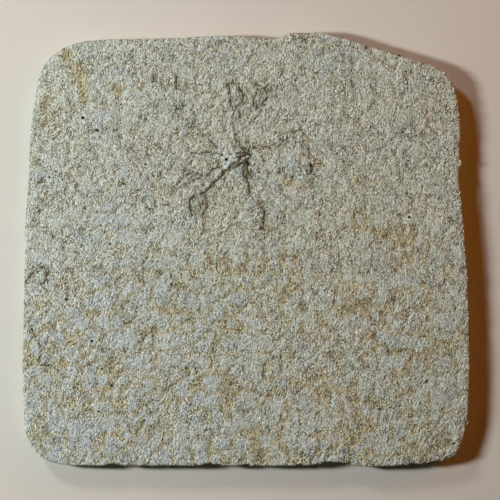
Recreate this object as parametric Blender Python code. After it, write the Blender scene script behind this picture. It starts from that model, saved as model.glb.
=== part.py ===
"""Stemless sea lily fossil on its slab of plate limestone.

One piece of stone: a thin plate, split along its bedding and nibbled to a rounded square, with a small
free-swimming sea lily lying in low relief on its upper face. The cup, the arms and their coiled tips are
mineralised in the bedding plane, so they are one solid with the plate.

Frame: +Z up, +X to the right and +Y up as one looks down on the fossil, origin at the middle of the
underside. The tables are in millimetres, and the solid is made in metres.
"""

import math

import bmesh
import bpy
from mathutils import Matrix, Vector, noise

MM = 0.001

# The plate.
THICKNESS = 7.0
GRID_CELLS = 40
OUTLINE_STEPS = 12

# Each edge starts at the middle of a corner and runs anticlockwise, seen from above.
NEAR_EDGE = (
    (-58.3, -54.5), (-55.1, -57.8), (-51.2, -59.2), (-40.2, -59.6), (-18.2, -59.5), (6.6, -59.6),
    (37.7, -59.7), (49.5, -58.9), (56.7, -57.3),
)
RIGHT_EDGE = (
    (58.0, -55.8), (59.1, -53.5), (60.2, -50.7), (61.2, -44.7), (61.6, -31.8), (61.2, -11.1),
    (60.3, 3.4), (59.0, 19.1), (59.1, 34.2), (58.0, 42.5),
)
FAR_EDGE = (
    (56.0, 46.8), (52.3, 50.1), (43.7, 52.9), (32.7, 56.2), (22.6, 59.1), (16.2, 59.5), (11.8, 59.3),
    (8.5, 57.9), (1.1, 58.2), (-6.6, 58.7), (-22.3, 57.9), (-40.2, 57.6), (-47.9, 56.4),
)
LEFT_EDGE = (
    (-52.8, 53.5), (-55.7, 50.3), (-57.6, 44.4), (-59.3, 31.5), (-59.8, 17.7), (-60.7, 6.7),
    (-60.9, -9.2), (-61.4, -29.0), (-61.2, -42.8), (-60.4, -51.3),
)

# Shallow scallops that the pliers took out of the edge: middle (x, y), half width along it, and depth.
EDGE_CHIPS = (
    ((-36.3, -59.6), 2.6, 0.55),
    ((-9.4, -59.5), 3.0, 0.65),
    ((0.8, -59.5), 2.4, 0.45),
    ((23.8, -59.6), 7.0, 1.15),
    ((58.9, 18.8), 4.5, 0.35),
    ((59.2, 28.7), 1.6, 0.30),
    ((-60.7, 0.7), 1.8, 0.50),
)

# The broken side, downwards: height as a share of the thickness, how far it stands back from the upper
# edge, and how far the fracture wanders. A parting between beds shows where the side steps out again.
SIDE_BEDS = (
    (0.90, 0.05, 0.15),
    (0.70, 0.60, 0.45),
    (0.65, 0.15, 0.30),
    (0.40, 0.95, 0.65),
    (0.34, 0.40, 0.40),
    (0.11, 1.15, 0.70),
)
FOOT_INSET = 2.2
FOOT_WANDER = 0.7
FRACTURE_LENGTH = 7.0
BED_WANDER = 0.16
BED_LENGTH = 24.0
PARTING_LENGTH = 15.0

# Relief of the upper face: wavelength and height of the swells, and how the rim is worn down.
SWELLS = ((38.0, 0.34), (14.0, 0.18), (7.0, 0.16))
RIM_DROP = 0.20
WORN_CORNERS = (((-57.0, 52.0), 0.75), ((-57.5, -53.5), 0.65), ((57.0, 46.0), 0.35), ((57.0, -55.0), 0.45))
WORN_REACH = 11.0

# Flakes lost from the underside and the lower side: middle, half sizes along x, y and z.
LOST_FLAKES = (
    ((34.0, -59.5, -0.3), (13.0, 6.5, 1.9)),
    ((-61.0, -22.0, -0.2), (5.5, 12.0, 2.4)),
    ((-20.0, 60.0, -0.3), (15.0, 5.5, 1.6)),
    ((60.5, 24.0, 0.2), (4.0, 8.0, 2.2)),
)

# The sea lily. The cup, the calcite beside it and the pads under two of the coils are low lumps: middle
# (x, y), half sizes, turn about z in degrees.
LUMPS = {
    "cup": ((-0.4, 25.7), (2.5, 1.6, 0.60), 28.0),
    "calcite": ((-5.3, 24.1), (1.8, 1.4, 0.42), 40.0),
    "right_pad": ((13.4, 23.9), (2.9, 2.2, 0.38), 15.0),
    "near_pad": ((2.0, 10.8), (2.1, 3.9, 0.34), 5.0),
}
LUMP_LIFT = 0.04
CUP_SWELL = ((-0.8, 25.6), 7.0, 0.25)
ARM_RADIUS = 0.34
TIP_SHARE = 0.55
ARM_LIFT = 0.02
ARM_STEP = 1.3
ROUTE_STEPS = 6
COIL_STEP_DEG = 24.0
COIL_SHRINK = 0.42

# Each arm: the points of its stem from the cup outwards, then its coiled tip as middle, half sizes,
# tilt in degrees, the angle at which the stem joins, and turns (negative is clockwise). None: no coil.
ARMS = {
    "lower_left": (
        ((-1.0, 24.2), (-2.8, 23.0), (-5.5, 21.7), (-7.3, 19.6), (-9.0, 18.1), (-10.7, 16.3), (-13.0, 15.0)),
        ((-13.0, 12.1), (2.5, 3.0), 0.0, 100.0, 1.45),
    ),
    "near": (
        ((-0.3, 23.8), (-0.4, 21.6), (0.2, 19.6), (0.8, 17.8), (1.3, 15.8), (2.2, 13.6)),
        ((4.5, 9.6), (1.0, 3.5), 4.0, 110.0, -1.20),
    ),
    "near_fork": (((0.3, 23.4), (0.9, 21.8), (1.5, 19.9)), None),
    "left_far": (
        ((-2.8, 27.0), (-5.6, 27.4), (-8.6, 28.6), (-10.8, 30.9), (-13.5, 32.9), (-16.4, 35.6)),
        ((-17.7, 37.4), (1.4, 2.0), 30.0, -60.0, 0.90),
    ),
    "left": (((-4.6, 26.4), (-7.6, 26.5), (-10.6, 26.7), (-14.7, 26.2)), None),
    "left_near": (
        ((-4.6, 23.2), (-8.0, 22.3), (-10.0, 21.0)),
        ((-15.5, 18.0), (6.0, 1.2), 33.0, 0.0, 0.96),
    ),
    "far": (
        ((-1.6, 27.0), (-3.1, 29.2), (-3.1, 31.2), (-2.3, 33.6), (-2.0, 36.2), (-2.7, 39.0)),
        ((-2.8, 42.3), (1.9, 3.5), 6.0, -90.0, -1.25),
    ),
    "far_right": (
        ((-0.6, 27.2), (-0.2, 30.0), (0.0, 33.2), (2.3, 35.8), (4.0, 38.0)),
        ((4.1, 41.8), (1.8, 3.1), -26.0, -90.0, 1.30),
    ),
    "right": (
        ((1.4, 27.4), (4.0, 28.6), (7.9, 28.6), (10.1, 29.4), (12.0, 31.0)),
        ((13.8, 26.4), (4.0, 6.1), -6.0, 112.0, -0.72),
    ),
}

# Arm tips of a second animal, cut by the left edge.
STRAY_TIPS = {
    "upper_stray": (
        ((-60.5, -8.9), (-59.1, -7.0), (-57.8, -5.5), (-56.3, -4.9)),
        ((-56.4, -7.3), (2.1, 2.4), 0.0, 85.0, -0.62),
    ),
    "lower_stray": (
        ((-59.6, -20.3), (-58.6, -22.5), (-57.6, -24.4), (-56.7, -26.2), (-56.3, -27.8)),
        ((-55.0, -30.6), (2.0, 2.4), 20.0, 130.0, 0.80),
    ),
}
STRAY_SHARE = 0.8


def catmull_rom(before, start, end, after, share):
    """The point at this share of the way from start to end, on the curve through all four."""
    square, cube = share * share, share * share * share
    return 0.5 * (
        2.0 * start
        + (end - before) * share
        + (2.0 * before - 5.0 * start + 4.0 * end - after) * square
        + (3.0 * start - before - 3.0 * end + after) * cube
    )


def smooth_line(points, steps):
    """An open run of points, rounded by a curve through all of them."""
    knots = [points[0], *points, points[-1]]
    line = [
        catmull_rom(*knots[i : i + 4], step / steps)
        for i in range(len(points) - 1)
        for step in range(steps)
    ]
    return [*line, points[-1]]


def evenly_spaced(line, count):
    """count + 1 points at equal distances along a line."""
    lengths = [0.0]
    for first, second in zip(line, line[1:]):
        lengths.append(lengths[-1] + (second - first).length)
    placed, span = [], 0
    for index in range(count + 1):
        wanted = lengths[-1] * index / count
        while span < len(line) - 2 and lengths[span + 1] < wanted:
            span += 1
        share = (wanted - lengths[span]) / (lengths[span + 1] - lengths[span])
        placed.append(line[span].lerp(line[span + 1], share))
    return placed


def length_of(line):
    return sum((second - first).length for first, second in zip(line, line[1:]))


def chipped(point, inward):
    """A point of the outline, moved inwards where a chip has been nibbled out."""
    depth = 0.0
    for middle, half_width, chip_depth in EDGE_CHIPS:
        away = (point - Vector(middle)).length / half_width
        if away < 1.0:
            depth += chip_depth * math.cos(0.5 * math.pi * away)
    return point + inward * depth


def plate_edges():
    """The outline's four edges, each as GRID_CELLS + 1 points, corner to corner."""
    edges = [NEAR_EDGE, RIGHT_EDGE, FAR_EDGE, LEFT_EDGE]
    knots = [Vector(point) for edge in edges for point in edge]
    placed, start = [], 0
    for edge in edges:
        line = []
        for knot in range(start, start + len(edge)):
            four = [knots[(knot + offset) % len(knots)] for offset in (-1, 0, 1, 2)]
            line += [catmull_rom(*four, step / OUTLINE_STEPS) for step in range(OUTLINE_STEPS)]
        line.append(knots[(start + len(edge)) % len(knots)].copy())
        start += len(edge)
        inwards = [
            Vector((line[i - 1].y - line[i + 1].y, line[i + 1].x - line[i - 1].x)).normalized()
            for i in range(1, len(line) - 1)
        ]
        line[1:-1] = [chipped(point, inward) for point, inward in zip(line[1:-1], inwards)]
        placed.append(evenly_spaced(line, GRID_CELLS))
    return centred(placed)


def centred(edges):
    """The edges, moved so that the middle of their bounding box is at the origin."""
    xs = [point.x for edge in edges for point in edge]
    ys = [point.y for edge in edges for point in edge]
    middle = Vector((min(xs) + max(xs), min(ys) + max(ys))) / 2.0
    return [[point - middle for point in edge] for edge in edges]


def worn_drop(x, y):
    """How far wear has lowered the rim here: a little all round, more at the corners."""
    drop = RIM_DROP
    for corner, depth in WORN_CORNERS:
        away = (Vector((x, y)) - Vector(corner)).length / WORN_REACH
        drop += depth * math.exp(-away * away)
    return drop


def face_height(x, y):
    """Height of the upper face inside its rim: gentle swells, and a low rise under the cup."""
    height = THICKNESS
    for layer, (wavelength, swell) in enumerate(SWELLS):
        height += swell * noise.noise(Vector((x / wavelength, y / wavelength, 3.1 * layer)))
    middle, reach, rise = CUP_SWELL
    away = (Vector((x, y)) - Vector(middle)).length / reach
    return height + rise * math.exp(-away * away)


def patch_point(edges, column, row):
    """A grid point of the upper face, blended from the four edges (a Coons patch)."""
    near, right = edges[0], edges[1]
    far, left = edges[2][::-1], edges[3][::-1]
    u, v = column / GRID_CELLS, row / GRID_CELLS
    across = near[column] * (1.0 - v) + far[column] * v
    along = left[row] * (1.0 - u) + right[row] * u
    corners = (near[0] * (1.0 - u) + near[-1] * u) * (1.0 - v) + (far[0] * (1.0 - u) + far[-1] * u) * v
    return across + along - corners


def rim_normals(rim):
    """The outward direction, in plan, at each point of a closed anticlockwise rim."""
    normals = []
    for index, point in enumerate(rim):
        along = rim[(index + 1) % len(rim)] - rim[index - 1]
        normals.append(Vector((along.y, -along.x)).normalized())
    return normals


def rim_cells():
    """The grid's rim, as (row, column), anticlockwise from its near left corner."""
    last = GRID_CELLS
    cells = [(0, column) for column in range(last)]
    cells += [(row, last) for row in range(last)]
    cells += [(last, column) for column in range(last, 0, -1)]
    return cells + [(row, 0) for row in range(last, 0, -1)]


def set_back(point, bed, inset, wander):
    """How far the side stands back here: partings come and go, and the fracture wanders."""
    place = Vector((point.x, point.y, 40.0 * bed))
    parting = 1.0 + noise.noise(place / PARTING_LENGTH)
    return max(0.0, inset * parting + wander * noise.noise(place / FRACTURE_LENGTH))


def bed_share(point, share):
    """A bed's height as a share of the thickness, rising and falling along the side."""
    rise = noise.noise(Vector((point.x, point.y, 0.0)) / BED_LENGTH)
    return share + BED_WANDER * rise * math.sin(math.pi * share)


def plate_mesh():
    """The plate: a grid for its upper face, whose rim is drawn down bed by bed and closed underneath."""
    edges = plate_edges()
    mesh = bmesh.new()
    side = GRID_CELLS + 1
    bmesh.ops.create_grid(mesh, x_segments=GRID_CELLS, y_segments=GRID_CELLS, size=1.0)
    mesh.verts.ensure_lookup_table()
    for index, vert in enumerate(mesh.verts):
        row, column = divmod(index, side)
        point = patch_point(edges, column, row)
        on_rim = row in (0, GRID_CELLS) or column in (0, GRID_CELLS)
        drop = worn_drop(point.x, point.y) if on_rim else 0.0
        vert.co = Vector((point.x, point.y, face_height(point.x, point.y) - drop))

    ring = [mesh.verts[row * side + column] for row, column in rim_cells()]
    plan = [Vector(vert.co[:2]) for vert in ring]
    outward = rim_normals(plan)
    tops = [vert.co.z for vert in ring]
    for bed, (share, inset, wander) in enumerate((*SIDE_BEDS, (0.0, FOOT_INSET, FOOT_WANDER))):
        ring = draw_down(mesh, ring)
        for vert, point, normal, top in zip(ring, plan, outward, tops):
            shifted = point - normal * set_back(point, bed, inset, wander)
            vert.co = Vector((shifted.x, shifted.y, top * bed_share(point, share)))
    mesh.faces.new(ring[::-1])

    bmesh.ops.recalc_face_normals(mesh, faces=mesh.faces)
    bmesh.ops.scale(mesh, vec=(MM, MM, MM), verts=mesh.verts)
    data = bpy.data.meshes.new("fossil_slab")
    mesh.to_mesh(data)
    mesh.free()
    return data


def draw_down(mesh, ring):
    """Extrudes a closed ring of vertices, and gives the new ring in the same order."""
    edges = [mesh.edges.get((first, second)) for first, second in zip(ring, ring[1:] + ring[:1])]
    made = bmesh.ops.extrude_edge_only(mesh, edges=edges)["geom"]
    new_verts = {vert for vert in made if isinstance(vert, bmesh.types.BMVert)}
    below = []
    for vert in ring:
        partner = next(edge.other_vert(vert) for edge in vert.link_edges if edge.other_vert(vert) in new_verts)
        below.append(partner)
    return below


def coil_line(middle, half_sizes, tilt, joins_at, turns):
    """A flat oval spiral, from its outside inwards."""
    count = max(6, round(abs(turns) * 360.0 / COIL_STEP_DEG))
    turned = Matrix.Rotation(math.radians(tilt), 2)
    line = []
    for index in range(count + 1):
        share = index / count
        angle = math.radians(joins_at + 360.0 * turns * share)
        size = 1.0 - COIL_SHRINK * share * abs(turns)
        oval = Vector((half_sizes[0] * math.cos(angle), half_sizes[1] * math.sin(angle))) * size
        line.append(Vector(middle) + turned @ oval)
    return line


def arm_line(stem, coil):
    """An arm's centreline in plan, stem and coil in one, at even steps."""
    points = [Vector(point) for point in stem]
    if coil:
        points += coil_line(*coil)
    line = smooth_line(points, ROUTE_STEPS)
    return evenly_spaced(line, max(4, round(length_of(line) / ARM_STEP)))


def ridge(name, line, radius, helpers):
    """A tapering round ridge, half sunk in the upper face along a line, as a mesh."""
    curve = bpy.data.curves.new(name, "CURVE")
    curve.dimensions = "3D"
    curve.bevel_depth = radius * MM
    curve.bevel_resolution = 1
    curve.use_fill_caps = True
    spline = curve.splines.new("POLY")
    spline.points.add(len(line) - 1)
    for index, (point, place) in enumerate(zip(spline.points, line)):
        height = face_height(place.x, place.y) + ARM_LIFT
        point.co = (place.x * MM, place.y * MM, height * MM, 1.0)
        point.radius = 1.0 + (TIP_SHARE - 1.0) * index / (len(line) - 1)
    tube = bpy.data.objects.new(name + "_route", curve)
    helpers.objects.link(tube)
    bpy.context.view_layer.update()
    evaluated = tube.evaluated_get(bpy.context.evaluated_depsgraph_get())
    data = bpy.data.meshes.new_from_object(evaluated)
    solid = bpy.data.objects.new(name, data)
    solid.matrix_world = tube.matrix_world.copy()
    bpy.data.objects.remove(tube)
    shape = bmesh.new()
    shape.from_mesh(data)
    bmesh.ops.remove_doubles(shape, verts=shape.verts, dist=0.00001)
    bmesh.ops.recalc_face_normals(shape, faces=shape.faces)
    shape.to_mesh(data)
    shape.free()
    return solid


def lump(name, middle, half_sizes, turn=0.0):
    """An ellipsoid: a lump to add, or a scoop to take away."""
    shape = bmesh.new()
    bmesh.ops.create_uvsphere(shape, u_segments=18, v_segments=8, radius=MM)
    bmesh.ops.scale(shape, vec=half_sizes, verts=shape.verts)
    data = bpy.data.meshes.new(name)
    shape.to_mesh(data)
    shape.free()
    solid = bpy.data.objects.new(name, data)
    solid.location = Vector(middle) * MM
    solid.rotation_euler.z = math.radians(turn)
    return solid


def keep_as_helper(solid, helpers, material=None):
    """Puts a shape among the helpers, where it shapes the slab but is no part of it."""
    helpers.objects.link(solid)
    solid.hide_render = True
    solid.display_type = "WIRE"
    if material:
        solid.data.materials.append(material)


def finish(name, colour, roughness):
    """A plain Principled material."""
    material = bpy.data.materials.new(name)
    material.use_nodes = True
    shader = material.node_tree.nodes["Principled BSDF"]
    shader.inputs["Base Color"].default_value = (*colour, 1.0)
    shader.inputs["Roughness"].default_value = roughness
    shader.inputs["Metallic"].default_value = 0.0
    return material


def raise_sea_lily(helpers, calcite):
    """Every lump and ridge of the fossil: cup and pads, arms with their coils, and the stray tips."""
    for name, (middle, half_sizes, turn) in LUMPS.items():
        place = (*middle, face_height(*middle) + LUMP_LIFT)
        keep_as_helper(lump(name, place, half_sizes, turn), helpers, calcite)
    ridges = [(f"arm_{name}", arm, ARM_RADIUS) for name, arm in ARMS.items()]
    ridges += [(name, tip, ARM_RADIUS * STRAY_SHARE) for name, tip in STRAY_TIPS.items()]
    for name, (stem, coil), radius in ridges:
        keep_as_helper(ridge(name, arm_line(stem, coil), radius, helpers), helpers, calcite)


def boolean(solid, name, operation, operands):
    """Adds or cuts a whole collection of shapes."""
    modifier = solid.modifiers.new(name, "BOOLEAN")
    modifier.operation = operation
    modifier.solver = "EXACT"
    modifier.operand_type = "COLLECTION"
    modifier.collection = operands
    modifier.material_mode = "TRANSFER"


def new_collection(name):
    collection = bpy.data.collections.new(name)
    bpy.context.scene.collection.children.link(collection)
    return collection


def main():
    for item in list(bpy.data.objects):
        bpy.data.objects.remove(item)
    specimen = new_collection("sea_lily_fossil")
    raised = new_collection("raised_shapes")
    scoops = new_collection("lost_flakes")

    stone = finish("plate_limestone", (0.36, 0.35, 0.28), 0.95)
    calcite = finish("fossil_calcite", (0.22, 0.16, 0.08), 0.8)

    slab = bpy.data.objects.new("fossil_slab", plate_mesh())
    slab.data.materials.append(stone)
    slab.data.materials.append(calcite)
    specimen.objects.link(slab)

    raise_sea_lily(raised, calcite)
    for index, (middle, half_sizes) in enumerate(LOST_FLAKES):
        keep_as_helper(lump(f"flake_{index}", middle, half_sizes), scoops)

    boolean(slab, "fossil_relief", "UNION", raised)
    boolean(slab, "lost_flakes", "DIFFERENCE", scoops)


main()
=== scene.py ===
"""Dresses a stemless sea lily fossil on its slab of plate limestone.

The slab is split stone: a granular bedding plane above, a broken side of thin beds, and a flat underside.
The animal lies in the bedding plane: a small ribbed cup with long thin arms, stained brown by iron, whose
tips are coiled. Tables are in millimetres, in the part's own frame: +X right, +Y away, +Z up out of the
fossil's face.
"""

import math
import random
from typing import NamedTuple

import bmesh
import bpy
import numpy as np
from mathutils import Matrix, Vector, noise


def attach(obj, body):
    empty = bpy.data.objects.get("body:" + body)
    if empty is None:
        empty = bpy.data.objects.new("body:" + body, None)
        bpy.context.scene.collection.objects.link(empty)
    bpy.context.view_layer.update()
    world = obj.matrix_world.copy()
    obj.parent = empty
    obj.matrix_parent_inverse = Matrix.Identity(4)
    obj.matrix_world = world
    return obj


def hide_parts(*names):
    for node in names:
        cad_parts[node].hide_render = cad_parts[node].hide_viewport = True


bl_info = {
    "name": "Sea lily fossil slab",
    "version": (1, 0, 0),
    "blender": (4, 5, 0),
    "location": "View3D > Sidebar > Fossil",
    "description": "Builds the surfaces of a stemless sea lily fossil on plate limestone",
    "category": "Object",
}

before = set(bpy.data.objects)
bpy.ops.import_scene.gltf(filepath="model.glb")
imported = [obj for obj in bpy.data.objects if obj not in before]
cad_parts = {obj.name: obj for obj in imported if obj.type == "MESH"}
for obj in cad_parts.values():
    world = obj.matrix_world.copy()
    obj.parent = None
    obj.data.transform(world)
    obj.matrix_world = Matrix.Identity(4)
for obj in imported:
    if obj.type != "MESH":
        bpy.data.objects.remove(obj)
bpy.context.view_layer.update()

MM = 0.001
PHOTO_WIDTH_PX = 500
MM_PER_PX = 0.275
SLAB_MIDDLE_PX = (246.0, 249.5)

# The outline of the upper face. Each edge starts at the middle of a corner and runs anticlockwise.
NEAR_EDGE = (
    (-58.3, -54.5), (-55.1, -57.8), (-51.2, -59.2), (-40.2, -59.6), (-18.2, -59.5), (6.6, -59.6),
    (37.7, -59.7), (49.5, -58.9), (56.7, -57.3),
)
RIGHT_EDGE = (
    (58.0, -55.8), (59.1, -53.5), (60.2, -50.7), (61.2, -44.7), (61.6, -31.8), (61.2, -11.1),
    (60.3, 3.4), (59.0, 19.1), (59.1, 34.2), (58.0, 42.5),
)
FAR_EDGE = (
    (56.0, 46.8), (52.3, 50.1), (43.7, 52.9), (32.7, 56.2), (22.6, 59.1), (16.2, 59.5), (11.8, 59.3),
    (8.5, 57.9), (1.1, 58.2), (-6.6, 58.7), (-22.3, 57.9), (-40.2, 57.6), (-47.9, 56.4),
)
LEFT_EDGE = (
    (-52.8, 53.5), (-55.7, 50.3), (-57.6, 44.4), (-59.3, 31.5), (-59.8, 17.7), (-60.7, 6.7),
    (-60.9, -9.2), (-61.4, -29.0), (-61.2, -42.8), (-60.4, -51.3),
)
OUTLINE_STEPS = 40

# Shallow scallops that the pliers took out of the edge: middle (x, y), half width along it, and depth.
EDGE_CHIPS = (
    ((-36.3, -59.6), 2.6, 0.55),
    ((-9.4, -59.5), 3.0, 0.65),
    ((0.8, -59.5), 2.4, 0.45),
    ((15.0, -59.6), 1.3, 0.55),
    ((23.8, -59.6), 7.0, 1.15),
    ((46.0, -59.3), 1.5, 0.45),
    ((58.9, 18.8), 4.5, 0.35),
    ((59.2, 28.7), 1.6, 0.30),
    ((-60.7, 0.7), 1.8, 0.50),
)
EDGE_ROUGHNESS = ((5.0, 0.22), (1.7, 0.14))

# The broken side, downwards: height as a share of the thickness, how far it stands back from the upper
# edge, and how far the fracture wanders.
SIDE_BEDS = (
    (1.00, 0.00, 0.00),
    (0.90, 0.05, 0.15),
    (0.70, 0.60, 0.45),
    (0.65, 0.15, 0.30),
    (0.40, 0.95, 0.65),
    (0.34, 0.40, 0.40),
    (0.11, 1.15, 0.70),
    (0.00, 2.20, 0.70),
)
SIDE_LEVELS = 16
BED_WANDER = 0.16
BED_LENGTH = 24.0
PARTING_LENGTH = 15.0
FRACTURE_LENGTH = 7.0
LAMINA_LENGTH = 11.0
LAMINA_STEP = 0.32
HACKLE = ((2.6, 0.30), (1.2, 0.16))

# Relief of the upper face: wavelength and height of each layer of swells, then of the split stone's own
# lumps, of its busier patches and of the underside; and how the rim is worn down.
SWELLS = ((38.0, 0.34), (14.0, 0.18), (7.0, 0.16))
LEDGES = ((3.4, 0.11), (1.9, 0.11))
LUMPS = ((1.9, 0.16), (1.15, 0.28))
FLAKE_RISE = 0.17
BUSY_PATCHES = ((6.0, 0.35), (2.6, 0.25))
UNDERSIDE_HOLLOWS = ((16.0, 0.5), (5.0, 0.35), (2.2, 0.22))
FOOT_SHARE = 0.992
RIM_DROP = 0.20
RIM_REACH = 1.4
WORN_CORNERS = (((-57.0, 52.0), 0.75), ((-57.5, -53.5), 0.65), ((57.0, 46.0), 0.35), ((57.0, -55.0), 0.45))
WORN_REACH = 11.0
WORN_WIDTH = 3.0

# Veins of rough stone wind between smooth flakes. Each layer of their noise has a wavelength along x and
# along y, a place in the noise and a weight. A flake's edge lies between two distances from a vein.
VEINS = ((5.0, 5.6, 20.0, 1.0), (2.3, 2.5, 24.0, 0.55))
FLAKE_EDGE = (0.08, 0.20)

# Iron stains the veins in the near half, less in its left corner, and the stone beside the ochre streaks.
IRON_START = (-16.0, 14.0)
IRON_REACH = 0.12
CLEAN_CORNER = (-52.0, -50.0)
CLEAN_CORNER_SIZE = 17.0
STREAK_REACH = 0.35

# Flakes lost from the underside and the lower side: middle, half sizes along x, y and z.
LOST_FLAKES = (
    ((34.0, -59.5, -0.3), (13.0, 6.5, 1.9)),
    ((-61.0, -22.0, -0.2), (5.5, 12.0, 2.4)),
    ((-20.0, 60.0, -0.3), (15.0, 5.5, 1.6)),
    ((60.5, 24.0, 0.2), (4.0, 8.0, 2.2)),
)

# How finely the plate is divided, and where it is divided twice as finely: lowest and highest corner.
TOP_CELLS = 216
CELL_SIZE = 0.55
FINE_REGIONS = (((-23.0, 5.5), (20.5, 48.8)), ((-59.0, -34.5), (-50.5, -3.5)))

# Raised pads and the swell under the cup: middle, half sizes, turn in degrees and rise.
PADS = (
    ((-0.8, 25.6), (6.5, 5.0), 20.0, 0.25),
    ((1.5, 21.6), (0.9, 1.7), -15.0, 0.28),
    ((-1.9, 21.6), (1.3, 1.4), 0.0, 0.16),
    ((13.4, 23.9), (2.9, 2.2), 15.0, 0.50),
    ((2.0, 10.8), (2.1, 3.9), 5.0, 0.38),
    ((-2.8, 42.3), (1.5, 3.0), 6.0, 0.20),
    ((4.2, 41.7), (1.5, 2.6), -26.0, 0.22),
    ((-13.0, 11.7), (2.0, 2.6), 0.0, 0.16),
    ((-56.4, -7.4), (1.7, 2.0), 0.0, 0.14),
)


class Arm(NamedTuple):
    """An arm, or part of one: its route in plan, its width, and how dark and how buried it is (0 to 1)."""

    route: tuple
    width: float
    dark: float
    buried: float


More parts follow.
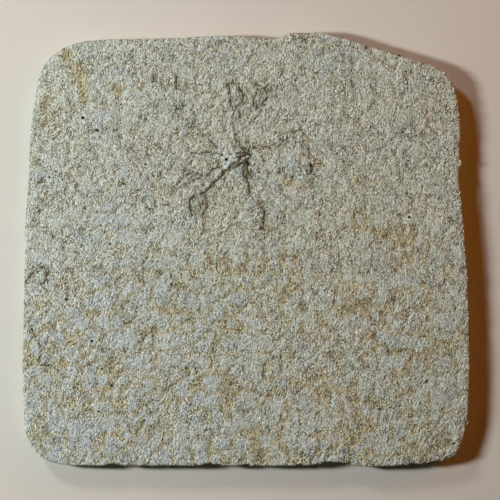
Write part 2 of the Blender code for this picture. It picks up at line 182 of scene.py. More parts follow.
ARMS = {
    "lower_left": Arm(
        ((-5.3, 21.9), (-5.9, 21.4), (-6.6, 20.5), (-7.4, 19.5), (-8.9, 18.3), (-10.6, 16.3), (-12.2, 15.3),
         (-13.6, 15.0), (-15.0, 14.0), (-15.5, 12.8), (-15.3, 11.7), (-15.0, 10.4), (-14.8, 9.3)),
        0.42, 0.90, 0.04,
    ),
    "lower_left_return": Arm(((-10.9, 14.4), (-10.6, 13.0), (-10.8, 11.2), (-11.9, 9.6)), 0.28, 0.2, 0.5),
    "lower_left_inner": Arm(((-12.8, 13.9), (-12.6, 12.3), (-12.6, 11.4), (-12.9, 9.6)), 0.30, 0.5, 0.35),
    "lower_left_second": Arm(((-13.9, 13.0), (-13.8, 11.8), (-14.0, 10.6)), 0.26, 0.3, 0.4),
    "lower_left_upper": Arm(
        ((-1.4, 25.3), (-1.7, 24.6), (-2.6, 23.9), (-3.5, 23.6), (-4.3, 22.7), (-5.1, 22.0), (-5.7, 21.6)),
        0.40, 0.75, 0.1,
    ),
    "lower_left_lower": Arm(
        ((0.3, 24.2), (-1.0, 23.8), (-1.9, 23.2), (-2.7, 22.6), (-3.5, 22.3)), 0.40, 1.0, 0.1,
    ),
    "lower_left_core": Arm(((-0.3, 24.1), (-1.9, 23.7), (-3.3, 22.8), (-4.6, 22.1)), 0.52, 0.45, 0.15),
    "near_left": Arm(((-0.5, 23.4), (-0.5, 21.9), (-0.6, 20.9), (-0.7, 20.0)), 0.38, 1.0, 0.0),
    "near_core": Arm(((0.0, 23.2), (0.2, 21.9), (0.2, 20.8), (0.1, 19.9)), 0.75, 0.25, 0.15),
    "near_right": Arm(((0.3, 21.9), (0.9, 20.9), (1.6, 19.9)), 0.28, 0.85, 0.1),
    "near_edge": Arm(((-0.1, 20.0), (0.3, 19.0), (0.8, 17.8), (1.0, 16.4), (1.4, 15.6)), 0.46, 0.6, 0.1),
    "near": Arm(
        ((1.5, 15.7), (1.6, 14.6), (2.2, 13.6), (3.6, 13.2), (4.6, 12.4), (4.4, 11.0), (4.0, 9.5),
         (4.6, 8.2)),
        0.34, 0.4, 0.35,
    ),
    "seam_far_left": Arm(((-1.4, 28.1), (-0.9, 27.6), (-0.4, 27.0), (0.3, 26.4)), 0.38, 0.85, 0.35),
    "seam_far_patch": Arm(((-0.7, 28.1), (-0.1, 27.5), (0.3, 26.9)), 0.34, 0.8, 0.35),
    "seam_far_right": Arm(((1.2, 28.5), (1.0, 27.6), (0.5, 26.6)), 0.34, 0.9, 0.3),
    "seam_right": Arm(((0.4, 26.4), (0.9, 26.1), (1.4, 25.9)), 0.50, 1.0, 0.0),
    "seam_middle": Arm(((1.2, 25.7), (0.8, 25.1), (0.5, 24.8), (0.4, 24.1)), 0.40, 0.95, 0.2),
    "seam_near": Arm(((-0.5, 24.0), (0.1, 23.7), (0.6, 23.4)), 0.60, 0.9, 0.1),
    "near_coil": Arm(((5.2, 10.6), (5.0, 8.9), (4.9, 7.6), (4.7, 6.3), (4.2, 5.7)), 0.42, 0.80, 0.08),
    "left_far": Arm(
        ((-7.9, 27.9), (-8.9, 28.9), (-10.6, 30.8), (-13.1, 32.9), (-15.5, 33.7),
         (-16.4, 35.6), (-18.2, 36.7), (-19.3, 38.5), (-18.0, 39.9)),
        0.34, 0.30, 0.35,
    ),
    "left": Arm(((-7.6, 26.4), (-10.3, 26.8), (-12.8, 26.5), (-14.9, 26.3)), 0.26, 0.35, 0.45),
    "left_near": Arm(
        ((-5.2, 23.2), (-8.9, 22.1), (-10.2, 20.8), (-12.7, 19.7), (-16.6, 17.9), (-19.5, 16.6),
         (-20.6, 14.9)),
        0.42, 0.60, 0.0,
    ),
    "left_near_leaf": Arm(((-12.4, 20.6), (-15.6, 20.9), (-17.6, 19.0), (-19.6, 16.9)), 0.40, 0.55, 0.0),
    "far": Arm(
        ((-1.8, 26.9), (-2.6, 27.7), (-3.3, 29.0), (-3.1, 30.7), (-2.8, 31.6), (-3.4, 34.0), (-3.6, 36.4),
         (-2.6, 38.9)),
        0.34, 0.20, 0.50,
    ),
    "far_strand": Arm(((-2.8, 30.6), (-2.8, 29.6), (-2.7, 28.2)), 0.44, 0.6, 0.1),
    "far_strand_right": Arm(((-1.9, 30.2), (-1.7, 29.2), (-1.6, 28.3)), 0.36, 0.3, 0.2),
    "far_coil": Arm(
        ((-2.5, 39.2), (-3.9, 39.6), (-4.3, 41.7), (-4.6, 44.3), (-4.8, 45.4), (-3.9, 45.9), (-2.1, 44.5),
         (-1.2, 43.4), (-0.8, 42.1), (-0.9, 40.8), (-2.3, 39.4)),
        0.34, 0.60, 0.2,
    ),
    "far_hook": Arm(((-1.5, 36.6), (-1.9, 38.1), (-2.6, 39.2)), 0.34, 0.5, 0.3),
    "far_right": Arm(
        ((-0.5, 32.6), (0.0, 33.4), (1.1, 34.5), (2.3, 35.8), (3.3, 36.9), (4.2, 38.3)),
        0.32, 0.28, 0.42,
    ),
    "far_right_coil": Arm(
        ((3.3, 38.9), (2.3, 40.0), (2.0, 41.2), (2.7, 42.4), (3.7, 44.1), (5.2, 44.5), (6.3, 45.5)),
        0.38, 0.65, 0.15,
    ),
    "far_right_return": Arm(
        ((5.2, 44.4), (5.7, 43.3), (6.2, 42.1), (5.5, 41.2), (4.3, 40.0), (3.3, 38.9)), 0.38, 0.7, 0.15,
    ),
    "right": Arm(
        ((1.6, 27.6), (4.1, 28.7), (5.8, 28.2), (7.4, 28.7), (9.2, 28.6), (10.1, 29.5), (11.6, 30.7),
         (13.1, 32.2), (15.5, 32.9), (16.4, 32.4), (17.1, 29.6), (17.4, 27.2), (17.6, 25.2)),
        0.34, 0.30, 0.36,
    ),
    "right_strand": Arm(((8.2, 28.0), (10.9, 29.1), (11.9, 29.8)), 0.28, 0.25, 0.5),
    "right_coil": Arm(((17.7, 23.6), (18.2, 22.4), (18.0, 21.4), (17.2, 20.6)), 0.44, 0.9, 0.05),
    "upper_stray": Arm(
        ((-60.6, -9.0), (-59.1, -7.0), (-57.8, -5.5), (-56.2, -4.8), (-54.9, -5.3), (-54.2, -6.7),
         (-54.8, -8.7), (-56.4, -9.7)),
        0.38, 0.75, 0.08,
    ),
    "lower_stray": Arm(
        ((-59.6, -20.2), (-58.6, -22.4), (-57.6, -24.4), (-56.7, -26.1), (-56.2, -27.4), (-56.4, -29.1),
         (-57.1, -30.5), (-56.2, -31.8), (-54.2, -31.8), (-52.8, -32.3), (-51.5, -33.2)),
        0.36, 0.60, 0.12,
    ),
    "lone_crack": Arm(((-19.0, 47.6), (-19.1, 46.2), (-19.2, 44.3)), 0.40, 1.0, 0.0),
}
ROUTE_STEPS = 8
ARM_REACH = 4.0
ARM_ROUGH_WIDTH = 0.9
LIP_SHIFT = (0.34, -0.20)

# An arm's bones get thinner towards its tip, and go under in places: depths as shares of their half width.
ARM_TAPER = 0.3
BURIED_DEPTH = 3.0
BURIED_WANDER = 2.6

# Iron-black bits of bone and filled cracks along the arms, read off the photograph: both ends in its
# pixels, then the width in millimetres.
DARK_BITS_PX = (
    (220.2, 176.6, 218.6, 179.2, 0.55), (213.6, 182.8, 210.5, 186.3, 0.50),
    (210.3, 186.5, 207.3, 189.7, 0.50), (203.0, 192.3, 200.8, 193.6, 0.45),
    (197.2, 194.6, 195.0, 195.8, 0.35), (192.6, 197.2, 190.4, 199.8, 0.45),
    (189.8, 200.2, 189.4, 203.0, 0.60), (189.4, 203.2, 189.8, 206.0, 0.60),
    (190.0, 209.0, 190.8, 212.4, 0.40), (191.2, 214.6, 191.7, 215.8, 0.45),
    (199.9, 204.0, 200.0, 207.5, 0.38), (199.9, 208.5, 200.2, 212.2, 0.42),
    (203.0, 202.6, 203.2, 204.4, 0.34), (207.4, 201.0, 207.5, 204.8, 0.36),
    (206.0, 210.2, 204.8, 212.0, 0.36), (194.3, 216.5, 194.8, 218.0, 0.34),
    (190.8, 193.2, 195.3, 188.6, 0.32), (197.9, 184.6, 198.3, 188.2, 0.36),
    (182.4, 184.6, 181.9, 187.0, 0.34), (188.4, 179.4, 192.8, 176.6, 0.32),
    (224.8, 170.9, 223.6, 171.8, 0.45), (241.0, 157.6, 240.4, 159.4, 0.48),
    (240.2, 160.3, 236.6, 161.6, 0.36), (235.0, 162.4, 231.6, 164.0, 0.50),
    (230.8, 165.4, 229.2, 168.4, 0.40), (242.4, 162.6, 239.4, 164.8, 0.38),
    (238.6, 165.2, 235.6, 167.6, 0.50), (244.2, 161.0, 247.8, 163.4, 0.80),
    (246.6, 162.8, 247.8, 165.0, 0.60), (248.6, 158.0, 247.4, 159.6, 0.70),
    (244.2, 170.4, 243.8, 173.4, 0.58), (243.7, 173.8, 243.4, 176.6, 0.52),
    (248.0, 168.8, 248.8, 172.2, 0.32), (249.4, 173.4, 251.6, 177.2, 0.36),
    (250.9, 145.2, 249.6, 147.6, 0.46), (253.2, 146.7, 254.7, 147.7, 0.52),
    (256.3, 148.2, 257.2, 148.6, 0.38), (241.2, 148.0, 243.0, 149.6, 0.52),
    (243.2, 150.0, 245.2, 152.0, 0.46), (245.4, 152.2, 247.4, 153.6, 0.46),
    (249.6, 154.2, 250.8, 155.6, 0.52), (248.2, 149.2, 248.4, 151.6, 0.42),
    (245.3, 147.6, 246.4, 149.0, 0.42), (231.0, 153.4, 231.8, 154.8, 0.48),
    (222.4, 153.8, 222.3, 155.4, 0.50), (247.3, 180.4, 248.6, 184.4, 0.40),
    (248.6, 184.8, 249.6, 188.0, 0.42), (252.8, 166.2, 254.6, 163.8, 0.40),
    (255.2, 163.2, 258.0, 161.4, 0.48), (260.2, 171.4, 259.2, 172.8, 0.46),
    (261.4, 155.0, 261.2, 157.6, 0.36), (265.8, 159.0, 264.8, 160.8, 0.36),
    (232.3, 81.2, 231.2, 83.0, 0.50), (228.4, 83.2, 228.6, 86.0, 0.60), (228.8, 86.6, 229.4, 89.2, 0.46),
    (230.2, 97.0, 230.4, 100.6, 0.60), (231.6, 104.6, 232.2, 106.0, 0.36),
    (232.2, 115.8, 232.8, 117.0, 0.50), (241.2, 115.6, 239.4, 118.6, 0.52),
    (240.2, 120.6, 240.0, 122.4, 0.36), (241.0, 90.4, 242.0, 92.2, 0.38),
    (242.6, 99.4, 242.4, 102.2, 0.50), (239.4, 103.0, 236.6, 106.4, 0.36),
    (260.6, 88.4, 258.4, 90.0, 0.40), (261.4, 88.2, 263.6, 88.6, 0.42), (264.6, 88.2, 268.8, 84.2, 0.38),
    (266.4, 91.4, 266.8, 94.0, 0.56), (265.6, 98.0, 265.4, 100.6, 0.66), (268.6, 96.2, 268.6, 98.6, 0.56),
    (256.2, 93.8, 253.2, 98.4, 0.30), (253.0, 99.6, 253.6, 103.0, 0.32),
    (255.8, 105.8, 256.8, 107.4, 0.46), (258.8, 108.0, 261.8, 105.0, 0.40),
    (261.8, 109.6, 261.4, 111.8, 0.36), (257.6, 115.0, 256.0, 117.0, 0.42),
    (254.6, 118.4, 253.8, 120.2, 0.42), (250.6, 122.6, 249.0, 124.6, 0.46),
    (247.0, 126.6, 245.4, 128.2, 0.46), (249.4, 78.4, 250.4, 79.0, 0.50),
    (261.4, 126.4, 261.9, 128.6, 0.38),
    (283.8, 141.6, 282.6, 143.0, 0.46), (268.6, 147.5, 270.8, 148.4, 0.50),
    (280.4, 144.6, 278.2, 146.8, 0.46), (290.4, 136.2, 289.2, 137.6, 0.42),
    (304.8, 131.0, 305.4, 132.6, 0.56), (302.6, 132.6, 304.4, 134.0, 0.36),
    (312.8, 130.6, 314.0, 131.6, 0.50), (307.9, 141.4, 307.6, 143.0, 0.42),
    (308.0, 146.0, 308.2, 149.4, 0.32), (300.6, 145.2, 302.0, 145.6, 0.40),
    (309.6, 161.6, 310.0, 164.0, 0.42), (310.2, 164.4, 310.4, 167.0, 0.66),
    (305.6, 170.0, 307.0, 171.4, 0.56), (312.2, 168.8, 311.0, 171.4, 0.38),
    (310.6, 171.8, 307.6, 175.2, 0.32), (296.2, 171.0, 293.2, 174.6, 0.34),
    (299.4, 168.8, 301.8, 167.8, 0.36), (295.2, 159.2, 296.6, 162.0, 0.50),
    (285.4, 173.6, 284.4, 175.6, 0.40), (281.8, 156.0, 281.6, 158.4, 0.36),
    (174.6, 108.2, 176.0, 110.6, 0.60), (176.0, 109.6, 178.6, 108.6, 0.60),
    (178.8, 108.0, 181.0, 104.6, 0.32), (174.0, 111.0, 172.6, 113.8, 0.32),
    (179.6, 112.8, 182.0, 116.4, 0.32), (185.8, 118.0, 187.6, 120.6, 0.46),
    (190.8, 108.8, 191.8, 110.6, 0.42), (193.0, 112.6, 194.2, 114.8, 0.44),
    (201.2, 106.4, 200.6, 112.0, 0.30), (209.8, 97.6, 210.4, 99.6, 0.42),
    (223.6, 109.0, 222.4, 114.0, 0.34), (193.0, 126.6, 193.8, 127.8, 0.42),
    (197.6, 128.6, 200.8, 132.6, 0.32), (197.4, 133.4, 197.6, 135.0, 0.46),
    (202.8, 133.6, 203.2, 134.8, 0.42), (207.2, 138.6, 208.5, 137.5, 0.48),
    (210.0, 139.4, 214.0, 144.2, 0.28), (216.0, 144.0, 216.4, 147.0, 0.40),
    (192.0, 153.8, 195.4, 153.4, 0.42), (197.6, 153.8, 199.4, 153.2, 0.42),
    (200.6, 153.0, 208.4, 152.2, 0.26), (162.2, 142.6, 162.6, 144.4, 0.46),
    (183.0, 146.0, 183.6, 147.4, 0.46), (154.4, 155.8, 155.2, 157.0, 0.46),
    (25.0, 283.4, 28.2, 279.0, 0.60), (28.6, 278.6, 32.0, 274.0, 0.55), (32.6, 273.4, 36.2, 270.2, 0.42),
    (47.8, 270.4, 49.0, 275.0, 0.38), (46.6, 283.0, 43.0, 284.6, 0.36), (28.8, 324.0, 32.6, 331.8, 0.42),
    (33.4, 333.6, 36.6, 339.2, 0.40), (38.6, 354.6, 40.6, 360.0, 0.42), (41.0, 361.4, 46.0, 366.6, 0.45),
    (48.0, 366.8, 52.0, 368.6, 0.40), (54.6, 368.8, 58.0, 370.2, 0.40),
    (176.6, 76.6, 176.5, 82.0, 0.46), (176.4, 82.4, 176.0, 88.0, 0.46), (196.4, 127.4, 199.0, 130.0, 0.36),
    (204.6, 135.8, 206.8, 138.0, 0.32), (208.8, 140.4, 211.0, 142.6, 0.36),
    (214.6, 145.2, 217.6, 148.6, 0.46),
)
BIT_DARKNESS = 1.45
BIT_FINENESS = 0.82
BLACK_VEIN = ((-19.1, 47.7), (-19.2, 44.4), 0.50)

# The ribs beside the arms, and across the leaves of the coils.
FEATHERED = (
    "far", "far_right", "right", "left_far", "left_near", "left_near_leaf", "near", "upper_stray",
    "lower_stray",
)
RIB_SPACING = 0.42
RIB_REACH = 0.75
RIB_HALF_SIZES = (0.12, 0.18)
RIB_LIFT = 0.03
RIB_TURN_SPREAD = 22.0
RIB_HALF_LENGTHS = (0.25, 0.6)
LEAF_RIBS = 26
LEAF_RIB_TURN = 80.0
LEAF_RIB_TURN_SPREAD = 14.0
LEAF_RIB_HALF_LENGTHS = (0.3, 0.8)

# The grains and the finest relief lie along the bed's grain: its bearing, how far single grains stray from
# it, and their half sizes along and across it as shares of the grain radius.
LEAN = 62.0
LEAN_SPREAD = 34.0
SMALLEST_GRAIN = (0.7, 0.35, 0.35)
LARGEST_GRAIN = (1.7, 0.80, 0.80)

# How fast red, green and blue fall off in the painted shade between grains: blue first, so that it looks
# olive.
PAINTED_SHADE_TINT = (1.0, 1.02, 1.2)

# What the stone's mesh says at each vertex, for its material and for the grains.
COLOUR_MARKS = ("hollow", "stain", "flake", "iron", "blue", "busy")
STONE_MARKS = (*COLOUR_MARKS, "open_face", "iron_face")

# Sizes of the patterns in the stone's material. Real grit is finer than 0.1 mm, which wouldn't show, so it is
# drawn coarser. It is longer along the bed's grain than across it.
GRIT_SIZE = 0.26
GRIT_DEPTH = 0.34
GRIT_STRETCH = (1.6, 0.8, 1.0)
FLECK_SIZE = 0.30
RAGGED_SIZE = 1.3
LEDGE_SIZE = 2.0
PALE_CLOUD_SIZE = 7.0
CALCITE_IOR = 1.6

# Where the fossil leaves the stone rough: the leaves of the coils, the cup and the crushed arms.
ROUGH_PATCHES = (
    ((-2.6, 42.2), (2.3, 3.9), 6.0, 0.4),
    ((4.9, 42.0), (2.3, 3.9), -30.0, 0.5),
    ((-12.6, 13.0), (3.1, 5.2), -12.0, 0.4),
    ((-16.4, 18.4), (5.0, 2.0), 35.0, 0.4),
    ((0.5, 25.6), (3.4, 3.4), 0.0, 0.9),
    ((2.2, 12.5), (2.6, 7.5), 14.0, 0.4),
    ((15.0, 22.4), (4.4, 2.4), 0.0, 0.6),
    ((-56.6, -7.6), (3.6, 2.8), 0.0, 0.6),
    ((-55.5, -25.5), (2.8, 7.5), 15.0, 0.5),
)

# Pale blue-grey patches: beside the cup, on the pads and in a coil.
PALE_PATCHES = (
    ((1.5, 21.6), (0.9, 1.7), -15.0, 0.6),
    ((-1.9, 21.4), (1.3, 1.4), 0.0, 0.5),
    ((-4.6, 24.2), (2.4, 1.8), 25.0, 0.6),
    ((13.6, 24.4), (3.2, 2.8), 0.0, 0.35),
    ((2.0, 10.8), (2.3, 4.0), 5.0, 0.35),
    ((-2.9, 41.6), (0.9, 1.7), 5.0, 0.5),
)

# Brown stain in the stone itself where the arms meet.
STAIN_PATCHES = (
    ((0.1, 27.1), (1.7, 1.3), -30.0, 0.9),
    ((0.4, 23.8), (1.0, 0.9), 0.0, 1.0),
    ((-2.1, 23.3), (1.9, 0.6), 33.0, 0.7),
    ((-2.3, 30.1), (1.0, 2.0), 5.0, 0.6),
    ((6.2, 28.6), (3.4, 0.6), 5.0, 0.5),
    ((-13.0, 12.0), (2.0, 3.4), 0.0, 0.80),
    ((4.9, 42.0), (1.8, 3.2), -30.0, 0.5),
    ((-16.0, 18.6), (4.6, 1.3), 35.0, 0.5),
    ((-54.2, -30.2), (2.9, 2.2), -25.0, 0.45),
)

# Ochre streaks that stand alone in the far half: a route and its half width.
OCHRE_STREAKS = (
    (((-50.0, 53.6), (-46.8, 50.8), (-45.4, 47.6), (-44.7, 43.4)), 1.5),
    (((-36.3, 45.0), (-35.3, 42.8)), 0.9),
    (((-55.6, 41.4), (-54.2, 38.0), (-55.5, 35.0)), 1.0),
    (((11.4, 32.3), (12.6, 31.4)), 0.9),
    (((18.6, 25.4), (20.2, 22.9)), 0.9),
    (((8.8, 19.6), (12.6, 18.0), (15.4, 16.8)), 0.8),
    (((30.6, 18.8), (32.0, 17.4), (36.4, 18.4)), 0.9),
    (((28.8, 8.2), (30.6, 5.0), (33.8, 5.6)), 1.1),
)

# The cup: where its middle lies and how deep, its turn, its half sizes, and the ribs along it.
CUP_MIDDLE = (-1.6, 26.1)
CUP_SINK = 0.05
CUP_TURN = 8.0
CUP_HALF_SIZES = (1.35, 0.85, 0.42)
CUP_RIBS = 5.2
CUP_RIB_RISE = 0.10

# White crystals beside the cup: the lobes of their patch (middle, half sizes) and the pinhole left in it.
CRYSTAL_LOBES = (((-4.8, 24.9), (1.5, 1.2)), ((-5.6, 23.0), (0.85, 1.0)), ((-3.1, 24.5), (1.0, 0.32)))
CRYSTAL_MIDDLE = (-4.4, 24.2)
CRYSTAL_REACH = 3.4
CRYSTALS_TRIED = 900
CRYSTAL_HOLE = (-5.42, 24.75)
CRYSTAL_HOLE_RADIUS = 0.52
CRYSTAL_SIZE = 0.19
CRYSTAL_VARIETY = 0.16
CRYSTAL_LIFT = 0.04
SPIRAL_TURN = 2.4

# Black specks of manganese ore, each in a pinhole: (x, y).
SPECKS = (
    (-40.9, 32.7), (-27.7, 23.5), (-33.6, 18.0), (-40.0, 6.6), (-37.3, 1.5), (-54.1, 19.9), (-52.3, 21.5),
    (-44.9, 36.2), (-49.4, -13.7), (-20.5, -9.7), (-42.4, -25.1), (-37.0, -37.4), (-40.5, -44.5),
    (-28.0, -47.0), (-25.6, -41.4), (44.9, 8.9), (13.6, 46.5), (42.1, 53.3), (36.7, -43.9), (57.1, -53.3),
    (49.6, -36.2), (-6.5, 26.0), (-4.15, 26.1), (4.8, 7.5), (-2.75, 31.6),
)
SPECK_PIT = (0.34, 0.22)
SPECK_SIZE = 0.29
SPECK_VARIETY = 0.16
HOLE_SPECK_SIZE = 0.38


class Lamp(NamedTuple):
    """A lamp: where it hangs, seen from the slab, its width and height, its power and its colour."""

    bearing: float
    elevation: float
    distance: float
    width: float
    height: float
    power: float
    colour: str


FLOOR_HALF_WIDTH = 1.5
SENSOR_WIDTH = 36.0

# The lights of the photograph: bearings in degrees from +X towards +Y, sizes in metres, powers in watts.
LAMPS = {
    "window_light": Lamp(176.0, 47.0, 0.45, 0.045, 0.127, 1.34, "FFFFFD"),
    "far_window_light": Lamp(130.0, 40.0, 0.60, 0.080, 0.130, 0.82, "FFFFFD"),
    "warm_bounce": Lamp(35.0, 36.0, 0.50, 0.300, 0.300, 0.43, "FF8E10"),
}


def panel_length(default, name, description):
    """A size of the object, kept in metres."""
    return bpy.props.FloatProperty(
        name=name, description=description, default=default * MM, min=0.0, subtype="DISTANCE", unit="LENGTH",
        precision=5,
    )


def panel_colour(default, name, description):
    """A colour, given as an sRGB hex value."""
    return bpy.props.FloatVectorProperty(
        name=name, description=description, default=linear(default), size=3, min=0.0, max=1.0,
        subtype="COLOR",
    )


def linear(hex_colour):
    """The linear colour of an sRGB hex value."""
    channels = [int(hex_colour[i : i + 2], 16) / 255.0 for i in (0, 2, 4)]
    return tuple(c / 12.92 if c <= 0.04045 else ((c + 0.055) / 1.055) ** 2.4 for c in channels)


class SlabSettings(bpy.types.PropertyGroup):
    """The plate: its size and the colours of its stone."""

    thickness: panel_length(7.00, "Thickness", "Height of the upper face above what the slab lies on")
    grain: panel_length(0.27, "Grain radius", "Half width of the largest grains that stand on the split face")
    chip: panel_length(0.70, "Chip radius", "Half width of the largest flat chips on the split face")
    grain_count: bpy.props.IntProperty(
        name="Grains", description="Grains of each sort", default=8600, min=0, max=9900,
    )
    seed: bpy.props.IntProperty(name="Seed", description="Changes how the grains lie", default=7, min=0)
    stone: panel_colour("CFD8C6", "Limestone", "Pale grey-beige of the fresh split face")
    pale: panel_colour("E2ECDF", "Pale stone", "Lime-rich crests and pads")
    blue: panel_colour("CAD8D8", "Blue-grey stone", "Smooth flakes that iron hasn't reached")
    buff: panel_colour("D2D2BA", "Buff stone", "Wide weak iron stain round the veins")
    ochre: panel_colour("CBC18F", "Ochre stain", "Iron stain in the middle of the veins")
    hollow: panel_colour("3C4127", "Hollows", "Dirt and shade in the hollows")
    ore: panel_colour("060505", "Manganese ore", "Black specks")


class FossilSettings(bpy.types.PropertyGroup):
    """The animal: the sizes of its arm bones and the colours of its calcite."""

    ossicle: panel_length(0.42, "Arm bone", "Length of one bone of an arm")
    groove: panel_length(0.42, "Groove", "Depth of the groove that an arm lies in")
    lip: panel_length(0.20, "Lip", "Rise of the stone along one side of an arm")
    brown: panel_colour("191A0D", "Brown calcite", "Iron-stained calcite of the best kept arms")
    tan: panel_colour("78714A", "Tan calcite", "Weakly stained calcite of the faint arms")
    white: panel_colour("E4F1EB", "White calcite", "Clean crystals beside the cup")
    cup: panel_colour("9D9888", "Cup calcite", "Pinkish grey calcite of the cup")


class StageSettings(bpy.types.PropertyGroup):
    """The floor, the light and the camera."""

    floor: panel_colour("DDDCD4", "Floor", "Pale beige of the surface")
    ambient: panel_colour("FFB884", "Ambient light", "Warm light from all round")
    ambient_strength: bpy.props.FloatProperty(
        name="Ambient strength", description="Brightness of the light from all round", default=0.010, min=0.0,
    )
    light_level: bpy.props.FloatProperty(
        name="Light level", description="Brightness of all the lamps together", default=1.0, min=0.0,
    )
    camera_height: panel_length(620.0, "Camera height", "Height of the camera above the upper face")


def settings(kind):
    """The settings group of this kind, from the scene."""
    return getattr(bpy.context.scene, kind)


def catmull_rom(before, start, end, after, share):
    """The point at this share of the way from start to end, on the curve through all four."""
    square, cube = share * share, share * share * share
    return 0.5 * (
        2.0 * start
        + (end - before) * share
        + (2.0 * before - 5.0 * start + 4.0 * end - after) * square
        + (3.0 * start - before - 3.0 * end + after) * cube
    )


def smooth_line(points, steps):
    """An open run of points, rounded by a curve through all of them."""
    knots = [Vector(point) for point in (points[0], *points, points[-1])]
    line = [
        catmull_rom(*knots[i : i + 4], step / steps)
        for i in range(len(points) - 1)
        for step in range(steps)
    ]
    return [*line, knots[-1]]


def evenly_spaced(line, count):
    """count + 1 points at equal distances along a line."""
    lengths = [0.0]
    for first, second in zip(line, line[1:]):
        lengths.append(lengths[-1] + (second - first).length)
    placed, span = [], 0
    for index in range(count + 1):
        wanted = lengths[-1] * index / count
        while span < len(line) - 2 and lengths[span + 1] < wanted:
            span += 1
        share = (wanted - lengths[span]) / (lengths[span + 1] - lengths[span])
        placed.append(line[span].lerp(line[span + 1], share))
    return placed


def layers_at(x, y, layers, seed=0.0):
    """Layered noise, in millimetres, at a place: each layer is a wavelength and a height."""
    total = 0.0
    for layer, (wavelength, height) in enumerate(layers):
        total += height * noise.noise(Vector((x / wavelength, y / wavelength, seed + 3.1 * layer)))
    return total


def ledges_at(x, y):
    """Height of the small ledges of split stone: flats, with a steep step where the noise changes sign."""
    total = 0.0
    for layer, (wavelength, height) in enumerate(LEDGES):
        total += height * math.tanh(4.0 * noise.noise(Vector((x / wavelength, y / wavelength, 60.0 + layer))))
    return total


def roughened(point, inward):
    """A point of the outline, moved inwards where a chip is gone and where the break is rough."""
    depth = abs(layers_at(point.x, point.y, EDGE_ROUGHNESS, 40.0))
    for middle, half_width, chip_depth in EDGE_CHIPS:
        away = (point - Vector(middle)).length / half_width
        if away < 1.0:
            depth += chip_depth * math.cos(0.5 * math.pi * away)
    return point + inward * depth


def plate_edges(cells):
    """The outline's four edges, each as cells + 1 points, corner to corner, centred on the origin."""
    edges = [NEAR_EDGE, RIGHT_EDGE, FAR_EDGE, LEFT_EDGE]
    knots = [Vector(point) for edge in edges for point in edge]
    placed, start = [], 0
    for edge in edges:
        line = []
        for knot in range(start, start + len(edge)):
            four = [knots[(knot + offset) % len(knots)] for offset in (-1, 0, 1, 2)]
            line += [catmull_rom(*four, step / OUTLINE_STEPS) for step in range(OUTLINE_STEPS)]
        line.append(knots[(start + len(edge)) % len(knots)].copy())
        start += len(edge)
        inwards = [
            Vector((line[i - 1].y - line[i + 1].y, line[i + 1].x - line[i - 1].x)).normalized()
            for i in range(1, len(line) - 1)
        ]
        line[1:-1] = [roughened(point, inward) for point, inward in zip(line[1:-1], inwards)]
        placed.append(evenly_spaced(line, cells))
    xs = [point.x for edge in placed for point in edge]
    ys = [point.y for edge in placed for point in edge]
    middle = Vector((min(xs) + max(xs), min(ys) + max(ys))) / 2.0
    return [[point - middle for point in edge] for edge in placed]


def patch_point(edges, column, row):
    """A grid point inside the four edges, blended from them (a Coons patch)."""
    cells = len(edges[0]) - 1
    near, right = edges[0], edges[1]
    far, left = edges[2][::-1], edges[3][::-1]
    u, v = column / cells, row / cells
    across = near[column] * (1.0 - v) + far[column] * v
    along = left[row] * (1.0 - u) + right[row] * u
    corners = (near[0] * (1.0 - u) + near[-1] * u) * (1.0 - v) + (far[0] * (1.0 - u) + far[-1] * u) * v
    return across + along - corners


def rim_cells(cells):
    """A grid's rim, as (row, column), anticlockwise from its near left corner."""
    rim = [(0, column) for column in range(cells)]
    rim += [(row, cells) for row in range(cells)]
    rim += [(cells, column) for column in range(cells, 0, -1)]
    return rim + [(row, 0) for row in range(cells, 0, -1)]


def arm_segments(arms):
    """Every arm's route as short straight segments: start, end and the arm that each belongs to."""
    starts, ends, owners = [], [], []
    for arm in arms:
        line = smooth_line(arm.route, ROUTE_STEPS)
        starts += [tuple(point) for point in line[:-1]]
        ends += [tuple(point) for point in line[1:]]
        owners += [arm] * (len(line) - 1)
    return np.array(starts), np.array(ends), owners


def trace_arms(places):
    """For each place (x, y): depth of groove, rise of lip, stain and roughness left there by the arms."""
    starts, ends, owners = arm_segments(ARMS.values())
    groove = np.zeros(len(places))
    lip = np.zeros(len(places))
    stain = np.zeros(len(places))
    rough = np.zeros(len(places))
    for start, end, arm in zip(starts, ends, owners):
        close = np.abs(places - (start + end) / 2.0).max(axis=1) < ARM_REACH
        if not close.any():
            continue
        near = places[close]
        along = end - start
        share = np.clip(((near - start) @ along) / (along @ along), 0.0, 1.0)
        nearest = start + share[:, None] * along
        distance = np.linalg.norm(near - nearest, axis=1)
        away = distance / arm.width
        beside = np.linalg.norm(near - nearest - LIP_SHIFT, axis=1) / arm.width
        kept = 1.0 - 0.35 * arm.buried
        groove[close] = np.maximum(groove[close], kept * np.exp(-1.6 * away * away))
        lip[close] = np.maximum(lip[close], kept * np.exp(-1.2 * beside * beside))
        stain[close] = np.maximum(stain[close], (0.70 + 0.30 * arm.dark) * np.exp(-0.38 * away * away))
        rough[close] = np.maximum(rough[close], np.exp(-((distance / ARM_ROUGH_WIDTH) ** 2)))
    return groove, lip, stain, rough


def patches_at(places, patches):
    """The sum of these oval patches (middle, half sizes, turn, strength) at each place."""
    total = np.zeros(len(places))
    for middle, half_sizes, turn, strength in patches:
        turned = (places - np.array(middle)) @ np.array(Matrix.Rotation(math.radians(turn), 2))
        away = (turned / np.array(half_sizes)) ** 2
        total += strength * np.exp(-(away.sum(axis=1) ** 1.5))
    return total


